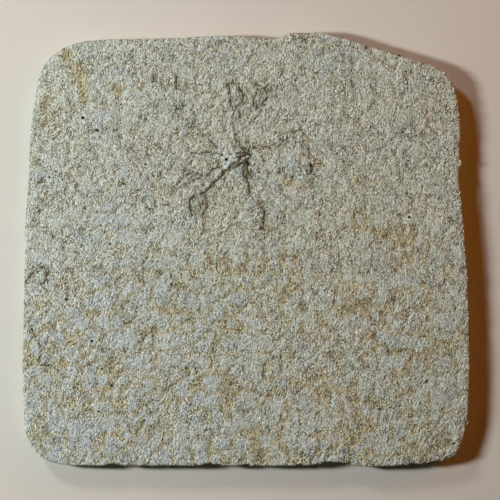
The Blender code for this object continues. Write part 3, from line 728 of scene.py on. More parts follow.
def worn_drop(place, rim_distance):
    """How far wear has lowered the face at this distance from the rim: more at the corners."""
    drop = RIM_DROP * max(0.0, 1.0 - rim_distance / RIM_REACH) ** 2
    for corner, depth in WORN_CORNERS:
        away = math.dist(place, corner) / WORN_REACH
        drop += depth * math.exp(-away * away) * max(0.0, 1.0 - rim_distance / WORN_WIDTH) ** 2
    return drop


def ramp(value, low, high):
    """Nought at low, one at high, and a smooth step between."""
    share = np.clip((value - low) / (high - low), 0.0, 1.0)
    return share * share * (3.0 - 2.0 * share)


def vein_distance(x, y):
    """Nought along the winding veins of rough stone between the flakes, more towards a flake's middle."""
    return abs(sum(
        weight * noise.noise(Vector((x / length_x, y / length_y, place)))
        for length_x, length_y, place, weight in VEINS
    ))


def flake_at(x, y):
    """One on the smooth flakes that stand a little proud, nought on the rough stone between them."""
    return float(ramp(vein_distance(x, y), *FLAKE_EDGE))


def iron_at(x, y):
    """Above nought where iron has stained the stone ochre: along the veins, and most in the near half."""
    near_half = float(ramp(0.30 * x - y, *IRON_START))
    corner = math.exp(-((math.dist((x, y), CLEAN_CORNER) / CLEAN_CORNER_SIZE) ** 2))
    patches = 0.5 + noise.noise(Vector((x / 13.0, y / 11.0, 28.0)))
    reach = IRON_REACH * near_half * (1.0 - 0.5 * corner) * (0.35 + 1.3 * patches)
    for route, half_width in OCHRE_STREAKS:
        away = min(distance_to_segment((x, y), first, second) for first, second in zip(route, route[1:]))
        reach += STREAK_REACH * math.exp(-((away / half_width) ** 2))
    return reach - vein_distance(x, y)


def distance_to_segment(place, first, second):
    """Distance in plan from a place to the straight line between two points."""
    along = Vector(second) - Vector(first)
    share = min(1.0, max(0.0, (Vector(place) - Vector(first)).dot(along) / along.length_squared))
    return (Vector(place) - Vector(first) - share * along).length


def blue_at(x, y):
    """How blue-grey the stone that iron hasn't reached is: most to the left and in the near left corner."""
    left = float(ramp(-x, -30.0, 50.0))
    near_left = float(ramp(-x - y, 5.0, 80.0))
    far_middle = math.exp(-(((x - 26.0) / 15.0) ** 2) - ((y - 52.0) / 10.0) ** 2)
    near = float(ramp(-y, -10.0, 25.0))
    wide = noise.noise(Vector((x / 15.0, y / 12.0, 58.0)))
    strength = 0.20 + 0.25 * left + 0.20 * near + 0.15 * near_left + 0.35 * far_middle + 0.5 * wide
    return min(1.0, max(0.0, strength))


def upper_face(places, rim_distances):
    """Heights of the upper face in millimetres, and what its material reads there."""
    thickness = settings("slab_settings").thickness / MM
    fossil = settings("fossil_settings")
    groove, lip, stain, rough = trace_arms(places)
    stain = np.clip(np.maximum(stain, patches_at(places, STAIN_PATCHES)), 0.0, 1.0)
    pads = patches_at(places, PADS)
    swells = np.array([layers_at(x, y, SWELLS) for x, y in places])
    lumps = np.array([layers_at(x, y, LUMPS, 9.0) + ledges_at(x, y) for x, y in places])
    wear = np.array([worn_drop(place, away) for place, away in zip(places, rim_distances)])
    pits = np.zeros(len(places))
    for speck in SPECKS:
        away = np.linalg.norm(places - np.array(speck), axis=1) / SPECK_PIT[0]
        pits += SPECK_PIT[1] * np.exp(-away * away)
    flakes = np.array([flake_at(x, y) for x, y in places])
    iron = np.array([iron_at(x, y) for x, y in places]) + 0.06 * rough
    patchy = np.array([layers_at(x, y, BUSY_PATCHES, 33.0) for x, y in places])
    rough = np.clip(rough + patches_at(places, ROUGH_PATCHES), 0.0, 1.0)
    busy = np.clip(0.61 + patchy - 0.42 * flakes + 0.25 * rough, 0.0, 1.0)
    lumps *= 0.35 + 1.1 * busy
    heights = thickness + swells + lumps + FLAKE_RISE * flakes + pads - wear - pits
    heights += lip * fossil.lip / MM - groove * fossil.groove / MM
    away_from_rim = ramp(np.array(rim_distances), 0.2, 1.2)
    blue = np.array([blue_at(x, y) for x, y in places]) + patches_at(places, PALE_PATCHES)
    open_face = (1.0 - ramp(stain, 0.25, 0.60)) * (1.0 - 0.5 * flakes) * away_from_rim
    return heights, {
        # Painted shade with dirt: the hollow mark darkens the low places between the lumps and the arms'
        # grooves.
        "hollow": np.clip(np.maximum(0.5 - lumps / 0.40, groove), 0.0, 1.0),
        "stain": stain,
        "flake": np.array([vein_distance(x, y) for x, y in places]),
        "iron": iron,
        "blue": np.clip(blue, 0.0, 1.0),
        "busy": busy,
        "open_face": open_face,
        "iron_face": open_face * ramp(iron, -0.03, 0.05),
    }


def bed_profile(share):
    """How far back the side stands and how far it wanders at this share of the thickness."""
    for (upper, back_1, wander_1), (lower, back_2, wander_2) in zip(SIDE_BEDS, SIDE_BEDS[1:]):
        if share >= lower:
            blend = (upper - share) / (upper - lower)
            return back_1 + (back_2 - back_1) * blend, wander_1 + (wander_2 - wander_1) * blend
    return SIDE_BEDS[-1][1:]


def set_back(point, share, level):
    """How far the broken side stands back here: beds, then laminae, then the hackle of the fracture."""
    inset, wander = bed_profile(share)
    parting = 1.0 + noise.noise(Vector((point.x, point.y, 40.0 * math.floor(share * 3.0))) / PARTING_LENGTH)
    back = inset * parting + wander * noise.noise(Vector((point.x, point.y, 9.0 * share)) / FRACTURE_LENGTH)
    lamina = Vector((point.x, point.y, 31.0 * (level // 2))) / LAMINA_LENGTH
    back += LAMINA_STEP * (0.5 + noise.noise(lamina)) * min(1.0, 4.0 * (1.0 - share))
    back += abs(layers_at(point.x, point.y, HACKLE, 5.0 * level)) * min(1.0, 5.0 * (1.0 - share))
    return max(0.0, back)


def scooped(place):
    """A place on the side or underside, lifted out of the flakes that are lost there."""
    for (x, y, z), (half_x, half_y, half_z) in LOST_FLAKES:
        inside = 1.0 - ((place.x - x) / half_x) ** 2 - ((place.y - y) / half_y) ** 2
        if inside > 0.0:
            rough = 0.12 * noise.noise(place / 1.8)
            place.z = max(place.z, z + half_z * math.sqrt(inside) + rough)
    return place


def draw_down(mesh, ring):
    """Extrudes a closed ring of vertices, and gives the new ring in the same order."""
    edges = [mesh.edges.get((first, second)) for first, second in zip(ring, ring[1:] + ring[:1])]
    made = bmesh.ops.extrude_edge_only(mesh, edges=edges)["geom"]
    new_verts = {vert for vert in made if isinstance(vert, bmesh.types.BMVert)}
    return [
        next(edge.other_vert(vert) for edge in vert.link_edges if edge.other_vert(vert) in new_verts)
        for vert in ring
    ]


def add_grid(mesh, cells, edges):
    """Adds a grid of cells by cells to a mesh, laid out inside four edges, and gives its vertices by row."""
    known = len(mesh.verts)
    bmesh.ops.create_grid(mesh, x_segments=cells, y_segments=cells, size=1.0)
    mesh.verts.ensure_lookup_table()
    verts = [mesh.verts[index] for index in range(known, len(mesh.verts))]
    for index, vert in enumerate(verts):
        row, column = divmod(index, cells + 1)
        point = patch_point(edges, column, row)
        vert.co = Vector((point.x, point.y, 0.0))
    return [verts[row * (cells + 1) : (row + 1) * (cells + 1)] for row in range(cells + 1)]


def divide_regions(mesh):
    """Halves the cells where the fossil's fine relief needs them."""
    def fine(vert):
        return any(
            low[0] < vert.co.x < high[0] and low[1] < vert.co.y < high[1] for low, high in FINE_REGIONS
        )

    edges = [edge for edge in mesh.edges if fine(edge.verts[0]) and fine(edge.verts[1])]
    bmesh.ops.subdivide_edges(mesh, edges=edges, cuts=1, use_grid_fill=True)


def close_underside(mesh, foot):
    """Closes the plate below its foot ring: a band that halves the ring, then a coarser rough grid."""
    cells = TOP_CELLS // 2
    coarse = [Vector(vert.co[:2]) * FOOT_SHARE for vert in foot[::2]]
    edges = [
        [coarse[(side * cells + step) % len(coarse)].copy() for step in range(cells + 1)] for side in range(4)
    ]
    rows = add_grid(mesh, cells, edges)
    for row in rows:
        for vert in row:
            hollow = layers_at(vert.co.x, vert.co.y, UNDERSIDE_HOLLOWS, 70.0)
            vert.co.z = max(0.0, hollow)
            scooped(vert.co)
    rim = [rows[row][column] for row, column in rim_cells(cells)]
    for index, inner in enumerate(rim):
        after = rim[(index + 1) % len(rim)]
        outer = [foot[(2 * index + step) % len(foot)] for step in range(3)]
        mesh.faces.new((outer[0], inner, outer[1]))
        mesh.faces.new((outer[1], inner, after))
        mesh.faces.new((outer[1], after, outer[2]))


def plate_mesh():
    """The whole plate as one closed mesh, with what the stone's material reads at each vertex."""
    edges = plate_edges(TOP_CELLS)
    mesh = bmesh.new()
    layers = {name: mesh.verts.layers.float.new(name) for name in STONE_MARKS}
    from_rim = mesh.verts.layers.float.new("from_rim")
    rim_order = mesh.verts.layers.int.new("rim_order")
    rows = add_grid(mesh, TOP_CELLS, edges)
    for row, verts in enumerate(rows):
        for column, vert in enumerate(verts):
            steps = min(row, column, TOP_CELLS - row, TOP_CELLS - column)
            vert[from_rim] = steps * CELL_SIZE
    for order, (row, column) in enumerate(rim_cells(TOP_CELLS)):
        rows[row][column][rim_order] = order + 1
    divide_regions(mesh)

    top = list(mesh.verts)
    rim = sorted((vert for vert in top if vert[rim_order]), key=lambda vert: vert[rim_order])
    places = np.array([vert.co[:2] for vert in top])
    heights, marks = upper_face(places, [vert[from_rim] for vert in top])
    for index, vert in enumerate(top):
        vert.co.z = heights[index]
        for name, values in marks.items():
            vert[layers[name]] = values[index]

    plan = [Vector(vert.co[:2]) for vert in rim]
    alongs = [after - before for before, after in zip(plan[-1:] + plan[:-1], plan[1:] + plan[:1])]
    outward = [Vector((along.y, -along.x)).normalized() for along in alongs]
    tops = [vert.co.z for vert in rim]
    ring = rim
    for level in range(1, SIDE_LEVELS + 1):
        share = 1.0 - level / SIDE_LEVELS
        ring = draw_down(mesh, ring)
        for vert, point, normal, height in zip(ring, plan, outward, tops):
            rise = BED_WANDER * noise.noise(Vector((point.x, point.y, 0.0)) / BED_LENGTH)
            shifted = point - normal * set_back(point, share, level)
            vert.co = Vector((shifted.x, shifted.y, height * (share + rise * math.sin(math.pi * share))))
            scooped(vert.co)
            vert[layers["open_face"]] = 0.0
            vert[layers["busy"]] = 0.5
            vert[layers["hollow"]] = min(1.0, 0.25 + 0.5 * abs(noise.noise(vert.co / 1.5)))
            vert[layers["iron"]] = iron_at(point.x + 9.0, point.y + 4.0 * share)
    close_underside(mesh, ring)
    for vert in mesh.verts[len(top) :]:
        if vert.co.z < 1.0:
            vert[layers["iron"]] = iron_at(vert.co.x - 30.0, vert.co.y + 55.0)
            vert[layers["blue"]] = blue_at(vert.co.x, vert.co.y)
            # Painted shade: the underside grows darker the higher it stands off the floor, in its hollows and
            # scoops.
            vert[layers["hollow"]] = min(1.0, 0.3 + vert.co.z)
            vert[layers["busy"]] = 0.5

    bmesh.ops.recalc_face_normals(mesh, faces=mesh.faces)
    bmesh.ops.scale(mesh, vec=(MM, MM, MM), verts=mesh.verts)
    return mesh


def add_node(tree, kind, inputs=None, **options):
    """Adds a node, sets its options, and sets or links its inputs by name or number."""
    node = tree.nodes.new(kind)
    for name, value in options.items():
        setattr(node, name, value)
    for name, value in (inputs or {}).items():
        if isinstance(value, bpy.types.NodeSocket):
            tree.links.new(value, node.inputs[name])
        else:
            node.inputs[name].default_value = value
    return node


def new_material(name, roughness, specular, ior=1.55):
    """A material with a plain Principled surface: its tree, its shader and the piece's own coordinates."""
    material = bpy.data.materials.new(name)
    material.use_nodes = True
    tree = material.node_tree
    shader = tree.nodes["Principled BSDF"]
    shader.inputs["Roughness"].default_value = roughness
    shader.inputs["Specular IOR Level"].default_value = specular
    shader.inputs["IOR"].default_value = ior
    return material, tree, shader, add_node(tree, "ShaderNodeTexCoord").outputs["Object"]


def clouds(tree, coords, size, detail=2.0, roughness=0.5, low=0.0, high=1.0, to_low=0.0, to_high=1.0):
    """Clouds of noise, the largest of this size in millimetres, stretched from one range to another."""
    plain = add_node(
        tree, "ShaderNodeTexNoise",
        {"Vector": coords, "Scale": 1.0 / (size * MM), "Detail": detail, "Roughness": roughness},
    )
    return add_node(
        tree, "ShaderNodeMapRange", {0: plain.outputs["Fac"], 1: low, 2: high, 3: to_low, 4: to_high},
    ).outputs[0]


def laid_over(tree, colour, layers):
    """A colour with others laid over it: each has a value, the range in which it grows, and its most."""
    colour = (*colour, 1.0)
    for value, low, high, most, over in layers:
        share = add_node(tree, "ShaderNodeMapRange", {0: value, 1: low, 2: high, 4: most}).outputs[0]
        colour = add_node(
            tree, "ShaderNodeMix", {0: share, 6: colour, 7: (*over, 1.0)}, data_type="RGBA",
        ).outputs[2]
    return colour


def surface(tree, shader, colour, relief=None, strength=1.0, depth=0.0):
    """Joins a colour to the shader, and, where there is one, a relief of this depth in millimetres."""
    tree.links.new(colour, shader.inputs["Base Color"])
    if relief is not None:
        bump = add_node(
            tree, "ShaderNodeBump", {"Strength": strength, "Distance": depth * MM, "Height": relief},
        )
        tree.links.new(bump.outputs["Normal"], shader.inputs["Normal"])


def stone_colour(tree, coords, flake, ragged, marks):
    """The stone's colours, widest first: pale clouds, bare flakes, iron, the animal's stain, and dirt with
    painted shade in the hollows.
    """
    slab = settings("slab_settings")
    iron = add_node(tree, "ShaderNodeMath", {0: marks["iron"], 1: ragged}, operation="ADD").outputs[0]
    bare = add_node(tree, "ShaderNodeMath", {0: marks["blue"], 1: flake}, operation="MULTIPLY").outputs[0]
    return laid_over(tree, slab.stone, (
        (clouds(tree, coords, PALE_CLOUD_SIZE, 4.0, 0.6), 0.40, 0.62, 0.40, slab.pale),
        (bare, 0.0, 1.0, 1.0, slab.blue),
        (iron, -0.18, 0.02, 0.50, slab.buff),
        (iron, -0.06, 0.12, 0.60, slab.ochre),
        (marks["stain"], 0.25, 1.0, 0.75, settings("fossil_settings").tan),
        # Painted shade with dirt: the hollow colour darkens the low places and the grooves.
        (marks["hollow"], 0.60, 1.0, 0.35, slab.hollow),
    ))


def painted_grit_shading(tree, fine, fleck_tone, contrast):
    """Painted shade between the grains and painted highlight on their crests, for red, green and blue; more
    where busy.
    """
    tone = 1.0
    # The fine noise that raises the bump darkens its pits and lightens its crests: painted shade and
    # highlight.
    for value, low, high, darkest, brightest in (
        (fine, 0.34, 0.50, 0.12, 1.26),
        (fleck_tone, 0.0, 0.30, 0.20, 1.04),
        (fine, 0.52, 0.68, 1.0, 1.45),
    ):
        level = add_node(
            tree, "ShaderNodeMapRange", {0: value, 1: low, 2: high, 3: darkest, 4: brightest},
        ).outputs[0]
        tone = add_node(tree, "ShaderNodeMath", {0: tone, 1: level}, operation="MULTIPLY").outputs[0]
    tones = {}
    for channel, tint in enumerate(PAINTED_SHADE_TINT):
        power = add_node(tree, "ShaderNodeMath", {0: contrast, 1: tint}, operation="MULTIPLY").outputs[0]
        tones[channel] = add_node(tree, "ShaderNodeMath", {0: tone, 1: power}, operation="POWER").outputs[0]
    return add_node(tree, "ShaderNodeCombineColor", tones).outputs[0]


def limestone():
    """Plate limestone, split along the bedding: matt, sugary and dusty, so that it has no gloss anywhere."""
    material, tree, shader, coords = new_material("split_plate_limestone", 0.96, 0.25)
    marks = {
        name: add_node(tree, "ShaderNodeAttribute", attribute_name=name).outputs["Fac"]
        for name in COLOUR_MARKS
    }
    slant = add_node(
        tree, "ShaderNodeMapping",
        {"Vector": coords, "Rotation": (0.0, 0.0, math.radians(LEAN)), "Scale": GRIT_STRETCH},
        vector_type="TEXTURE",
    ).outputs[0]
    fine = clouds(tree, slant, GRIT_SIZE, 1.0, 0.7)
    ragged = clouds(tree, slant, RAGGED_SIZE, 2.0, 0.5, 0.2, 0.8, -0.16, 0.16)
    ledge = clouds(tree, slant, LEDGE_SIZE, 3.0, 0.6, 0.46, 0.54)
    flecks = add_node(
        tree, "ShaderNodeTexVoronoi", {"Vector": slant, "Scale": 1.0 / (FLECK_SIZE * MM), "Randomness": 1.0},
    )
    fleck_tone = add_node(tree, "ShaderNodeSeparateColor", {0: flecks.outputs["Color"]}).outputs[0]
    contrast = add_node(tree, "ShaderNodeMapRange", {0: marks["busy"], 3: 0.47, 4: 1.49}).outputs[0]
    edge = add_node(tree, "ShaderNodeMath", {0: marks["flake"], 1: ragged}, operation="ADD").outputs[0]
    flake = add_node(tree, "ShaderNodeMapRange", {0: edge, 1: 0.10, 2: 0.28}).outputs[0]
    stone = stone_colour(tree, coords, flake, ragged, marks)
    shade = painted_grit_shading(tree, fine, fleck_tone, contrast)
    colour = add_node(
        tree, "ShaderNodeMix", {0: 1.0, 6: stone, 7: shade}, data_type="RGBA", blend_type="MULTIPLY",
    ).outputs[2]
    pits = add_node(
        tree, "ShaderNodeMath", {0: fine, 1: flecks.outputs["Distance"]}, operation="SUBTRACT",
    ).outputs[0]
    relief = add_node(tree, "ShaderNodeMath", {0: pits, 1: contrast}, operation="MULTIPLY").outputs[0]
    for step, rise in ((flake, 0.45), (ledge, 0.35)):
        relief = add_node(
            tree, "ShaderNodeMath", {0: step, 1: rise, 2: relief}, operation="MULTIPLY_ADD",
        ).outputs[0]
    surface(tree, shader, colour, relief, 1.0, GRIT_DEPTH)
    return material


def arm_calcite():
    """Iron-stained calcite of the arms: dark and faintly waxy where it is well kept, else dull tan."""
    fossil = settings("fossil_settings")
    material, tree, shader, coords = new_material("iron_stained_calcite", 0.62, 0.4, CALCITE_IOR)
    kept = add_node(tree, "ShaderNodeAttribute", attribute_name="dark").outputs["Fac"]
    broken = clouds(tree, coords, 0.7, 2.0, 0.7, 0.3, 0.7, -0.40, 0.30)
    dark = add_node(tree, "ShaderNodeMath", {0: kept, 1: broken}, operation="ADD").outputs[0]
    colour = laid_over(tree, fossil.tan, ((dark, 0.0, 1.0, 1.0, fossil.brown),))
    surface(tree, shader, colour, clouds(tree, coords, 0.2), 0.6, 0.06)
    return material


def rib_calcite():
    """Calcite of the ribs beside the arms: as pale and matt as the stone, with a tan stain in patches."""
    material, tree, shader, coords = new_material("stone_coloured_calcite", 0.85, 0.3, CALCITE_IOR)
    pale = settings("slab_settings").pale
    clean = clouds(tree, coords, 1.1)
    surface(tree, shader, laid_over(tree, settings("fossil_settings").tan, ((clean, 0.32, 0.50, 1.0, pale),)))
    return material


def cup_calcite():
    """Grey calcite of the cup: brown in the seams between its plates, pale and rubbed on their crests."""
    fossil = settings("fossil_settings")
    material, tree, shader, coords = new_material("grey_cup_calcite", 0.7, 0.4, CALCITE_IOR)
    seam = add_node(tree, "ShaderNodeAttribute", attribute_name="seam").outputs["Fac"]
    colour = laid_over(tree, settings("slab_settings").hollow, (
        (clouds(tree, coords, 0.5, 3.0), 0.30, 0.50, 1.0, fossil.cup),
        (seam, 0.0, 1.0, 1.0, fossil.brown),
    ))
    surface(tree, shader, colour, clouds(tree, coords, 0.3), 0.8, 0.08)
    return material


def white_calcite():
    """Clean calcite crystals: white, with a slight glint on their faces and blue-grey shade between them."""
    material, tree, shader, coords = new_material("white_crystal_calcite", 0.45, 0.5, CALCITE_IOR)
    shaded = [0.45 * value for value in settings("slab_settings").blue]
    clean = (clouds(tree, coords, 0.8), 0.32, 0.52, 1.0, settings("fossil_settings").white)
    surface(tree, shader, laid_over(tree, shaded, (clean,)))
    return material


def manganese_ore():
    """Black manganese ore: sooty and matt."""
    material, tree, shader, coords = new_material("black_manganese_ore", 0.9, 0.15, 2.0)
    ore = settings("slab_settings").ore
    dusty = (clouds(tree, coords, 0.2), 0.0, 1.0, 1.0, [2.2 * value for value in ore])
    surface(tree, shader, laid_over(tree, ore, (dusty,)))
    return material


def floor_finish():
    """A pale painted table top: even and matt."""
    material, tree, shader, coords = new_material("pale_table_top", 0.85, 0.2, 1.45)
    floor = settings("stage_settings").floor
    worn = (clouds(tree, coords, 40.0), 0.3, 0.7, 1.0, [0.97 * value for value in floor])
    surface(tree, shader, laid_over(tree, floor, (worn,)))
    return material


def new_tree(name, inputs):
    """A Geometry Nodes tree with a Geometry input and output and these named inputs."""
    tree = bpy.data.node_groups.new(name, "GeometryNodeTree")
    tree.interface.new_socket("Geometry", in_out="INPUT", socket_type="NodeSocketGeometry")
    for label, (socket_type, default) in inputs.items():
        socket = tree.interface.new_socket(label, in_out="INPUT", socket_type=socket_type)
        if default is not None:
            socket.default_value = default
    tree.interface.new_socket("Geometry", in_out="OUTPUT", socket_type="NodeSocketGeometry")
    return tree, tree.nodes.new("NodeGroupInput"), tree.nodes.new("NodeGroupOutput")


def run_tree(tree, carrier, values, name):
    """Runs a tree on an object through a modifier, and gives the result as a plain mesh object."""
    modifier = carrier.modifiers.new(tree.name, "NODES")
    modifier.node_group = tree
    identifiers = {
        item.name: item.identifier for item in tree.interface.items_tree if item.in_out == "INPUT"
    }
    for label, value in values.items():
        modifier[identifiers[label]] = value
    bpy.context.view_layer.update()
    evaluated = carrier.evaluated_get(bpy.context.evaluated_depsgraph_get())
    data = bpy.data.meshes.new_from_object(evaluated)
    carrier.modifiers.remove(modifier)
    data.name = name
    return add_object(name, data)


def add_object(name, data):
    """A new object with this data, in the scene, at the origin."""
    item = bpy.data.objects.new(name, data)
    bpy.context.scene.collection.objects.link(item)
    return item


def lay_copies(tree, group_in, group_out, placing):
    """Ends a tree: lays copies of one shape on its points, makes them real and gives them its material."""
    placed = add_node(tree, "GeometryNodeInstanceOnPoints", placing)
    realized = add_node(tree, "GeometryNodeRealizeInstances", {0: placed.outputs[0]})
    painted = add_node(
        tree, "GeometryNodeSetMaterial", {0: realized.outputs[0], "Material": group_in.outputs["Material"]},
    )
    tree.links.new(painted.outputs[0], group_out.inputs[0])
    return tree


def grain_tree():
    """Scatters angular grains over a face, half sunk in it and each turned its own way."""
    tree, group_in, group_out = new_tree("stone_grains", {
        "Density": ("NodeSocketFloat", 1.0),
        "Radius": ("NodeSocketFloat", 0.0003),
        "Seed": ("NodeSocketInt", 1),
        "Where": ("NodeSocketString", "open_face"),
        "Flatness": ("NodeSocketFloat", 1.0),
        "Tilt": ("NodeSocketFloat", math.pi),
        "Material": ("NodeSocketMaterial", None),
    })
    where = add_node(
        tree, "GeometryNodeInputNamedAttribute", {"Name": group_in.outputs["Where"]}, data_type="FLOAT",
    ).outputs["Attribute"]
    density = add_node(
        tree, "ShaderNodeMath", {0: where, 1: group_in.outputs["Density"]}, operation="MULTIPLY",
    ).outputs[0]
    points = add_node(
        tree, "GeometryNodeDistributePointsOnFaces",
        {"Mesh": group_in.outputs["Geometry"], "Density": density, "Seed": group_in.outputs["Seed"]},
        distribute_method="RANDOM",
    )
    grain = add_node(tree, "GeometryNodeMeshIcoSphere", {"Radius": 1.0, "Subdivisions": 1})
    tilt = group_in.outputs["Tilt"]
    back = add_node(tree, "ShaderNodeMath", {0: tilt, 1: -1.0}, operation="MULTIPLY").outputs[0]
    lowest, highest = (math.radians(LEAN + side * LEAN_SPREAD) for side in (-1.0, 1.0))
    spin = add_node(
        tree, "FunctionNodeRandomValue",
        {
            0: add_node(tree, "ShaderNodeCombineXYZ", {0: back, 1: back, 2: lowest}).outputs[0],
            1: add_node(tree, "ShaderNodeCombineXYZ", {0: tilt, 1: tilt, 2: highest}).outputs[0],
            "Seed": group_in.outputs["Seed"],
        },
        data_type="FLOAT_VECTOR",
    )
    size = add_node(
        tree, "FunctionNodeRandomValue",
        {0: SMALLEST_GRAIN, 1: LARGEST_GRAIN, "Seed": group_in.outputs["Seed"]},
        data_type="FLOAT_VECTOR",
    )
    flatness = group_in.outputs["Flatness"]
    flat = add_node(tree, "ShaderNodeCombineXYZ", {0: 1.0, 1: 1.0, 2: flatness}).outputs[0]
    shape = add_node(
        tree, "ShaderNodeVectorMath", {0: size.outputs[0], 1: flat}, operation="MULTIPLY",
    ).outputs[0]
    scale = add_node(
        tree, "ShaderNodeVectorMath", {0: shape, "Scale": group_in.outputs["Radius"]}, operation="SCALE",
    )
    return lay_copies(tree, group_in, group_out, {
        "Points": points.outputs["Points"], "Instance": grain.outputs["Mesh"],
        "Rotation": spin.outputs[0], "Scale": scale.outputs[0],
    })


def ossicle_tree():
    """Strings short bones along a curve, each as wide as the curve's own radius there."""
    tree, group_in, group_out = new_tree("arm_bones", {
        "Length": ("NodeSocketFloat", 0.0004),
        "Seed": ("NodeSocketInt", 3),
        "Material": ("NodeSocketMaterial", None),
    })
    spacing = add_node(
        tree, "ShaderNodeMath", {0: group_in.outputs["Length"], 1: 0.72}, operation="MULTIPLY",
    ).outputs[0]
    even = add_node(
        tree, "GeometryNodeResampleCurve", {"Curve": group_in.outputs["Geometry"], "Length": spacing},
        mode="LENGTH",
    )
    along = add_node(tree, "GeometryNodeInputTangent").outputs[0]
    turn = add_node(tree, "FunctionNodeAlignRotationToVector", {"Vector": along}, axis="X").outputs[0]
    bone = add_node(tree, "GeometryNodeMeshIcoSphere", {"Radius": 1.0, "Subdivisions": 2})
    radius = add_node(tree, "GeometryNodeInputRadius").outputs[0]
    vary = add_node(
        tree, "FunctionNodeRandomValue", {2: 0.82, 3: 1.15, "Seed": group_in.outputs["Seed"]},
        data_type="FLOAT",
    )
    wide = add_node(tree, "ShaderNodeMath", {0: radius, 1: vary.outputs[1]}, operation="MULTIPLY").outputs[0]
    half_length = add_node(
        tree, "ShaderNodeMath", {0: group_in.outputs["Length"], 1: 0.5}, operation="MULTIPLY",
    ).outputs[0]
    size = add_node(tree, "ShaderNodeCombineXYZ", {0: half_length, 1: wide, 2: wide}).outputs[0]
    return lay_copies(tree, group_in, group_out, {
        "Points": even.outputs[0], "Instance": bone.outputs["Mesh"], "Rotation": turn, "Scale": size,
    })


def face_finder():
    """Gives the height of the plate's upper face, in millimetres, at any place."""
    plate = bpy.data.objects["limestone_plate"]

    def height(x, y):
        hit, place, _normal, _index = plate.ray_cast((x * MM, y * MM, 0.05), (0.0, 0.0, -1.0))
        if not hit:
            raise RuntimeError(f"no stone under ({x:.1f}, {y:.1f})")
        return place.z / MM

    return height


def ride_on_slab(piece):
    """Makes a piece part of the one body."""
    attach(piece, "root")


class FOSSIL_OT_plate(bpy.types.Operator):
    """Builds the limestone plate in place of the plain slab"""

    bl_idname = "fossil.plate"
    bl_label = "Limestone plate"

    def execute(self, context):
        plate = add_mesh("limestone_plate", plate_mesh(), limestone(), smooth=True)
        ride_on_slab(plate)
        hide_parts("fossil_slab")
        return {"FINISHED"}


class FOSSIL_OT_grains(bpy.types.Operator):
    """Strews grains and flat chips of its own stone over the split face"""

    bl_idname = "fossil.grains"
    bl_label = "Stone grains"

    def execute(self, context):
        slab = settings("slab_settings")
        plate = bpy.data.objects["limestone_plate"]
        tree = grain_tree()
        sorts = {
            "stone_grains": ("open_face", slab.grain, 0.8, 0.5),
            "small_grains": ("open_face", 0.8 * slab.grain, 1.0, 0.8),
            "flat_chips": ("open_face", slab.chip, 0.26, 0.18),
            "vein_grains": ("iron_face", slab.grain, 0.9, 0.6),
        }
        for index, (name, (where, size, flatness, tilt)) in enumerate(sorts.items()):
            room = sum_over_faces(plate.data, where)
            if room <= 0.0:
                raise RuntimeError(f"{name}: the plate has no {where}")
            piece = run_tree(tree, plate, {
                "Density": slab.grain_count / room, "Radius": size, "Seed": slab.seed + index,
                "Where": where, "Flatness": flatness, "Tilt": tilt, "Material": plate.data.materials[0],
            }, name)
            ride_on_slab(piece)
        return {"FINISHED"}


def sum_over_faces(data, where):
    """A mesh's area in square metres, each face counted by the mean of one of its attributes."""
    values = np.zeros(len(data.vertices))
    data.attributes[where].data.foreach_get("value", values)
    return sum(face.area * values[list(face.vertices)].mean() for face in data.polygons)


def add_grain(mesh, middle, turn, half_sizes, subdivisions=2):
    """Adds a round grain to a mesh, from its middle, turn and half sizes in millimetres."""
    place = Matrix.Scale(MM, 4) @ Matrix.Translation(middle) @ turn @ Matrix.Diagonal((*half_sizes, 1.0))
    bmesh.ops.create_icosphere(mesh, subdivisions=subdivisions, radius=1.0, matrix=place)


def add_splinter(mesh, height, first, second, half_sizes, past_ends=0.0):
    """Adds a long grain, half sunk in the face, from one place to another and a little past both."""
    middle, along = 0.5 * (first + second), second - first
    turn = Matrix.Rotation(math.atan2(along.y, along.x), 4, "Z")
    add_grain(mesh, (*middle, height(*middle)), turn, (0.5 * along.length + past_ends, *half_sizes))


def add_mesh(name, mesh, material, smooth=False):
    """A new object from a BMesh, with one material."""
    data = bpy.data.meshes.new(name)
    mesh.to_mesh(data)
    mesh.free()
    data.materials.append(material)
    if smooth:
        data.shade_smooth()
    return add_object(name, data)


def write_mark(piece, name, values):
    """Writes a value at each vertex of a piece, for its material to read."""
    piece.data.attributes.new(name, "FLOAT", "POINT").data.foreach_set("value", values)


def photo_place(pixel_x, pixel_y):
    """The place on the slab, in millimetres, that a pixel of the photograph shows."""
    return Vector((pixel_x - SLAB_MIDDLE_PX[0], SLAB_MIDDLE_PX[1] - pixel_y)) * MM_PER_PX


def bits_mesh(height):
    """The dark bits, each lying half sunk along its own line."""
    mesh = bmesh.new()
    for *ends, widest in DARK_BITS_PX:
        width = BIT_FINENESS * widest
        first, second = photo_place(*ends[:2]), photo_place(*ends[2:])
        add_splinter(mesh, height, first, second, (0.5 * width, 0.4 * width), 0.35 * width)
    return mesh


def rib_spots(seed):
    """The ribs' places, turns and half lengths: along the feathered arms, then across the coils' leaves."""
    chance = random.Random(seed)
    for name in FEATHERED:
        line = smooth_line(ARMS[name].route, ROUTE_STEPS)
        length = sum((second - first).length for first, second in zip(line, line[1:]))
        for spot in evenly_spaced(line, max(1, round(length / RIB_SPACING))):
            aside = Vector((chance.gauss(0.0, 1.0), chance.gauss(0.0, 1.0))) * 0.5 * RIB_REACH
            yield spot + aside, LEAN + chance.gauss(0.0, RIB_TURN_SPREAD), chance.uniform(*RIB_HALF_LENGTHS)
    for middle, half_sizes, turn, strength in ROUGH_PATCHES[:4]:
        for _rib in range(round(LEAF_RIBS * strength)):
            angle, reach = chance.uniform(0.0, math.tau), 0.85 * math.sqrt(chance.random())
            spot = Vector((reach * half_sizes[0] * math.cos(angle), reach * half_sizes[1] * math.sin(angle)))
            spot.rotate(Matrix.Rotation(math.radians(turn), 2))
            turned = LEAF_RIB_TURN + chance.gauss(0.0, LEAF_RIB_TURN_SPREAD)
            yield spot + Vector(middle), turned, chance.uniform(*LEAF_RIB_HALF_LENGTHS)


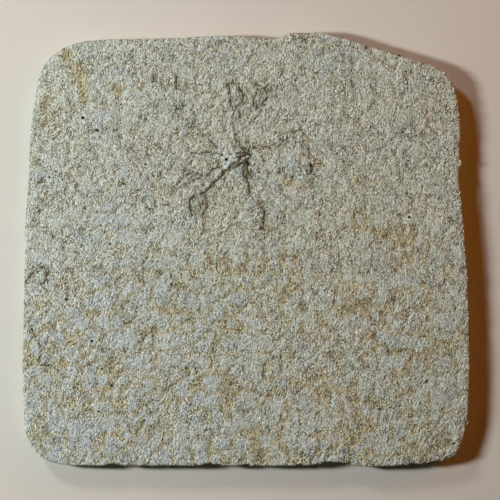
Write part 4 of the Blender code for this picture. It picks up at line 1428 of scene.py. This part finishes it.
def ribs_mesh(height, seed):
    """The ribs: thin ridges of stone-coloured bone, half sunk."""
    mesh = bmesh.new()
    for spot, turn, half in rib_spots(seed):
        place = (*spot, height(*spot) + RIB_LIFT)
        add_grain(mesh, place, Matrix.Rotation(math.radians(turn), 4, "Z"), (half, *RIB_HALF_SIZES))
    return mesh


class FOSSIL_OT_arms(bpy.types.Operator):
    """Lays the bones of the arms in their grooves"""

    bl_idname = "fossil.arms"
    bl_label = "Arms"

    def execute(self, context):
        fossil = settings("fossil_settings")
        height = face_finder()
        tree = ossicle_tree()
        material = arm_calcite()
        for seed, (name, arm) in enumerate(ARMS.items()):
            curve = bpy.data.curves.new(name + "_route", "CURVE")
            curve.dimensions = "3D"
            line = smooth_line(arm.route, ROUTE_STEPS)
            spline = curve.splines.new("POLY")
            spline.points.add(len(line) - 1)
            for index, (point, place) in enumerate(zip(spline.points, line)):
                share = index / (len(line) - 1)
                wander = layers_at(place.x, place.y, ((1.3, 1.0),), 5.0 + seed)
                uneven = layers_at(place.x, place.y, ((0.8, 1.0),), 45.0 + seed)
                width = 0.5 * arm.width * (1.0 - ARM_TAPER * share) * (1.0 + 0.6 * uneven)
                sunk = width * (BURIED_DEPTH * arm.buried + BURIED_WANDER * wander - 0.35)
                point.co = (place.x * MM, place.y * MM, (height(*place) - max(sunk, -0.4 * width)) * MM, 1.0)
                point.radius = width * MM
            route = add_object(name + "_route", curve)
            piece = run_tree(tree, route, {
                "Length": fossil.ossicle, "Seed": seed, "Material": material,
            }, "arm_" + name)
            write_mark(piece, "dark", [arm.dark] * len(piece.data.vertices))
            piece.data.shade_smooth()
            bpy.data.objects.remove(route)
            ride_on_slab(piece)
        bits = add_mesh("dark_bits", bits_mesh(height), material, smooth=True)
        darkness = [BIT_DARKNESS * bit[4] for bit in DARK_BITS_PX]
        per_bit = len(bits.data.vertices) // len(DARK_BITS_PX)
        write_mark(bits, "dark", [value for value in darkness for _vertex in range(per_bit)])
        ride_on_slab(bits)
        seed = settings("slab_settings").seed
        ribs = add_mesh("arm_ribs", ribs_mesh(height, seed), rib_calcite(), smooth=True)
        ride_on_slab(ribs)
        return {"FINISHED"}


def cup_mesh(height):
    """The cup, lying crushed on its side: a low spindle with ribs along it and stain in its furrows."""
    half_length, half_width, half_height = CUP_HALF_SIZES
    mesh = bmesh.new()
    bmesh.ops.create_uvsphere(mesh, u_segments=64, v_segments=32, radius=1.0)
    seam = mesh.verts.layers.float.new("seam")
    for vert in mesh.verts:
        x, y, z = vert.co
        rib = math.cos(CUP_RIBS * y + 0.6)
        rough = 0.30 * noise.noise(vert.co * 2.2) + 0.26 * noise.noise(vert.co * 5.5)
        width = (1.0 - 0.25 * x) * (0.95 + rough)
        vert[seam] = min(1.0, max(0.0, -0.9 * rib - 0.05 + 1.4 * noise.noise(vert.co * 2.6)))
        rise = half_height + CUP_RIB_RISE * rib
        vert.co = Vector((x * (half_length + rough), y * half_width * width, z * rise * width))
    place = Matrix.Translation((*CUP_MIDDLE, height(*CUP_MIDDLE) - CUP_SINK))
    turn = Matrix.Rotation(math.radians(CUP_TURN), 4, "Z")
    bmesh.ops.transform(mesh, matrix=Matrix.Scale(MM, 4) @ place @ turn, verts=mesh.verts)
    bmesh.ops.recalc_face_normals(mesh, faces=mesh.faces)
    return mesh


def crystal_spots():
    """Places of the white crystals: on a spiral, where a lobe of the patch is and the pinhole isn't."""
    spots = []
    for index in range(CRYSTALS_TRIED):
        angle = SPIRAL_TURN * index
        reach = CRYSTAL_REACH * math.sqrt(index / CRYSTALS_TRIED)
        spot = Vector(CRYSTAL_MIDDLE) + reach * Vector((math.cos(angle), math.sin(angle)))
        ragged = 1.0 + 0.9 * noise.noise(Vector((spot.x, spot.y, 0.0)) / 0.8)
        inside = any(
            ((spot.x - x) / half_x) ** 2 + ((spot.y - y) / half_y) ** 2 < ragged
            for (x, y), (half_x, half_y) in CRYSTAL_LOBES
        )
        if inside and (spot - Vector(CRYSTAL_HOLE)).length > CRYSTAL_HOLE_RADIUS:
            spots.append(spot)
    return spots


def crystals_mesh(height):
    """The white crystals: small blocks, each tumbled its own way."""
    mesh = bmesh.new()
    for index, spot in enumerate(crystal_spots()):
        size = CRYSTAL_SIZE + CRYSTAL_VARIETY * noise.noise(Vector((index * 1.7, 0.0, 0.0)))
        tumble = Vector((math.sin(index), math.cos(1.3 * index), 0.4))
        turn = tumble.to_track_quat("Z", "Y").to_matrix().to_4x4()
        place = (*spot, height(*spot) + CRYSTAL_LIFT)
        add_grain(mesh, place, turn, (size * 1.3, size, size * 0.7), subdivisions=1)
    return mesh


class FOSSIL_OT_cup(bpy.types.Operator):
    """Sets the ribbed cup and the crystals beside it in the middle of the arms"""

    bl_idname = "fossil.cup"
    bl_label = "Cup and crystals"

    def execute(self, context):
        height = face_finder()
        ride_on_slab(add_mesh("cup", cup_mesh(height), cup_calcite(), smooth=True))
        ride_on_slab(add_mesh("calcite_crystals", crystals_mesh(height), white_calcite()))
        return {"FINISHED"}


class FOSSIL_OT_specks(bpy.types.Operator):
    """Puts the black specks of ore in their pinholes"""

    bl_idname = "fossil.specks"
    bl_label = "Ore specks"

    def execute(self, context):
        height = face_finder()
        mesh = bmesh.new()
        top, foot, width = BLACK_VEIN
        add_splinter(mesh, height, Vector(foot), Vector(top), (0.5 * width, 0.3 * width))
        for index, (x, y) in enumerate((CRYSTAL_HOLE, *SPECKS)):
            size = SPECK_SIZE + SPECK_VARIETY * noise.noise(Vector((index * 2.3, 1.0, 0.0)))
            if index == 0:
                size = HOLE_SPECK_SIZE
            place = (x, y, height(x, y) + 0.4 * size)
            add_grain(mesh, place, Matrix.Identity(4), (size * 1.25, size, size * 0.8))
        ride_on_slab(add_mesh("ore_specks", mesh, manganese_ore()))
        return {"FINISHED"}


class FOSSIL_OT_stage(bpy.types.Operator):
    """Lays the pale floor, and sets the lights and the camera"""

    bl_idname = "fossil.stage"
    bl_label = "Floor, lights and camera"

    def execute(self, context):
        stage = settings("stage_settings")
        thickness = settings("slab_settings").thickness
        mesh = bmesh.new()
        bmesh.ops.create_grid(mesh, x_segments=1, y_segments=1, size=FLOOR_HALF_WIDTH)
        add_mesh("floor", mesh, floor_finish())

        world = context.scene.world or bpy.data.worlds.new("ambient")
        context.scene.world = world
        world.use_nodes = True
        background = world.node_tree.nodes["Background"]
        background.inputs["Color"].default_value = (*stage.ambient, 1.0)
        background.inputs["Strength"].default_value = stage.ambient_strength

        for name, lamp in LAMPS.items():
            light = bpy.data.lights.new(name, "AREA")
            light.shape = "ELLIPSE"
            light.size = lamp.width
            light.size_y = lamp.height
            light.energy = lamp.power * stage.light_level
            light.color = linear(lamp.colour)
            item = add_object(name, light)
            bearing, elevation = math.radians(lamp.bearing), math.radians(lamp.elevation)
            flat = math.cos(elevation)
            direction = Vector((flat * math.cos(bearing), flat * math.sin(bearing), math.sin(elevation)))
            item.location = lamp.distance * direction
            item.rotation_euler = direction.to_track_quat("Z", "Y").to_euler()

        camera_data = bpy.data.cameras.new("photo_camera")
        camera = add_object("photo_camera", camera_data)
        view_width = PHOTO_WIDTH_PX * MM_PER_PX * MM
        camera_data.sensor_width = SENSOR_WIDTH
        camera_data.lens = SENSOR_WIDTH * stage.camera_height / view_width
        half = PHOTO_WIDTH_PX / 2.0
        aside = (half - SLAB_MIDDLE_PX[0]) * MM_PER_PX * MM
        ahead = (SLAB_MIDDLE_PX[1] - half) * MM_PER_PX * MM
        camera.location = (aside, ahead, thickness + stage.camera_height)
        context.scene.camera = camera
        context.scene.view_settings.view_transform = "Standard"
        return {"FINISHED"}


OPERATORS = (
    FOSSIL_OT_plate, FOSSIL_OT_grains, FOSSIL_OT_arms, FOSSIL_OT_cup, FOSSIL_OT_specks, FOSSIL_OT_stage,
)


class FOSSIL_PT_panel(bpy.types.Panel):
    """Lists the slab's settings and the steps that build it"""

    bl_idname = "FOSSIL_PT_panel"
    bl_label = "Sea lily fossil slab"
    bl_space_type = "VIEW_3D"
    bl_region_type = "UI"
    bl_category = "Fossil"

    def draw(self, context):
        for kind in SETTINGS:
            box = self.layout.box()
            group = getattr(context.scene, kind)
            for name in group.__annotations__:
                box.prop(group, name)
        for operator in OPERATORS:
            self.layout.operator(operator.bl_idname)


SETTINGS = {
    "slab_settings": SlabSettings,
    "fossil_settings": FossilSettings,
    "stage_settings": StageSettings,
}


def register():
    """Registers the settings, the operators and the panel."""
    for kind in (*SETTINGS.values(), *OPERATORS, FOSSIL_PT_panel):
        bpy.utils.register_class(kind)
    for name, kind in SETTINGS.items():
        setattr(bpy.types.Scene, name, bpy.props.PointerProperty(type=kind))


def unregister():
    """Takes them away again."""
    for name in SETTINGS:
        delattr(bpy.types.Scene, name)
    for kind in (FOSSIL_PT_panel, *OPERATORS, *SETTINGS.values()):
        bpy.utils.unregister_class(kind)


def main():
    """Builds every piece, then the stage."""
    register()
    bpy.ops.fossil.plate()
    bpy.ops.fossil.grains()
    bpy.ops.fossil.arms()
    bpy.ops.fossil.cup()
    bpy.ops.fossil.specks()
    bpy.ops.fossil.stage()


if __name__ == "__main__":
    main()
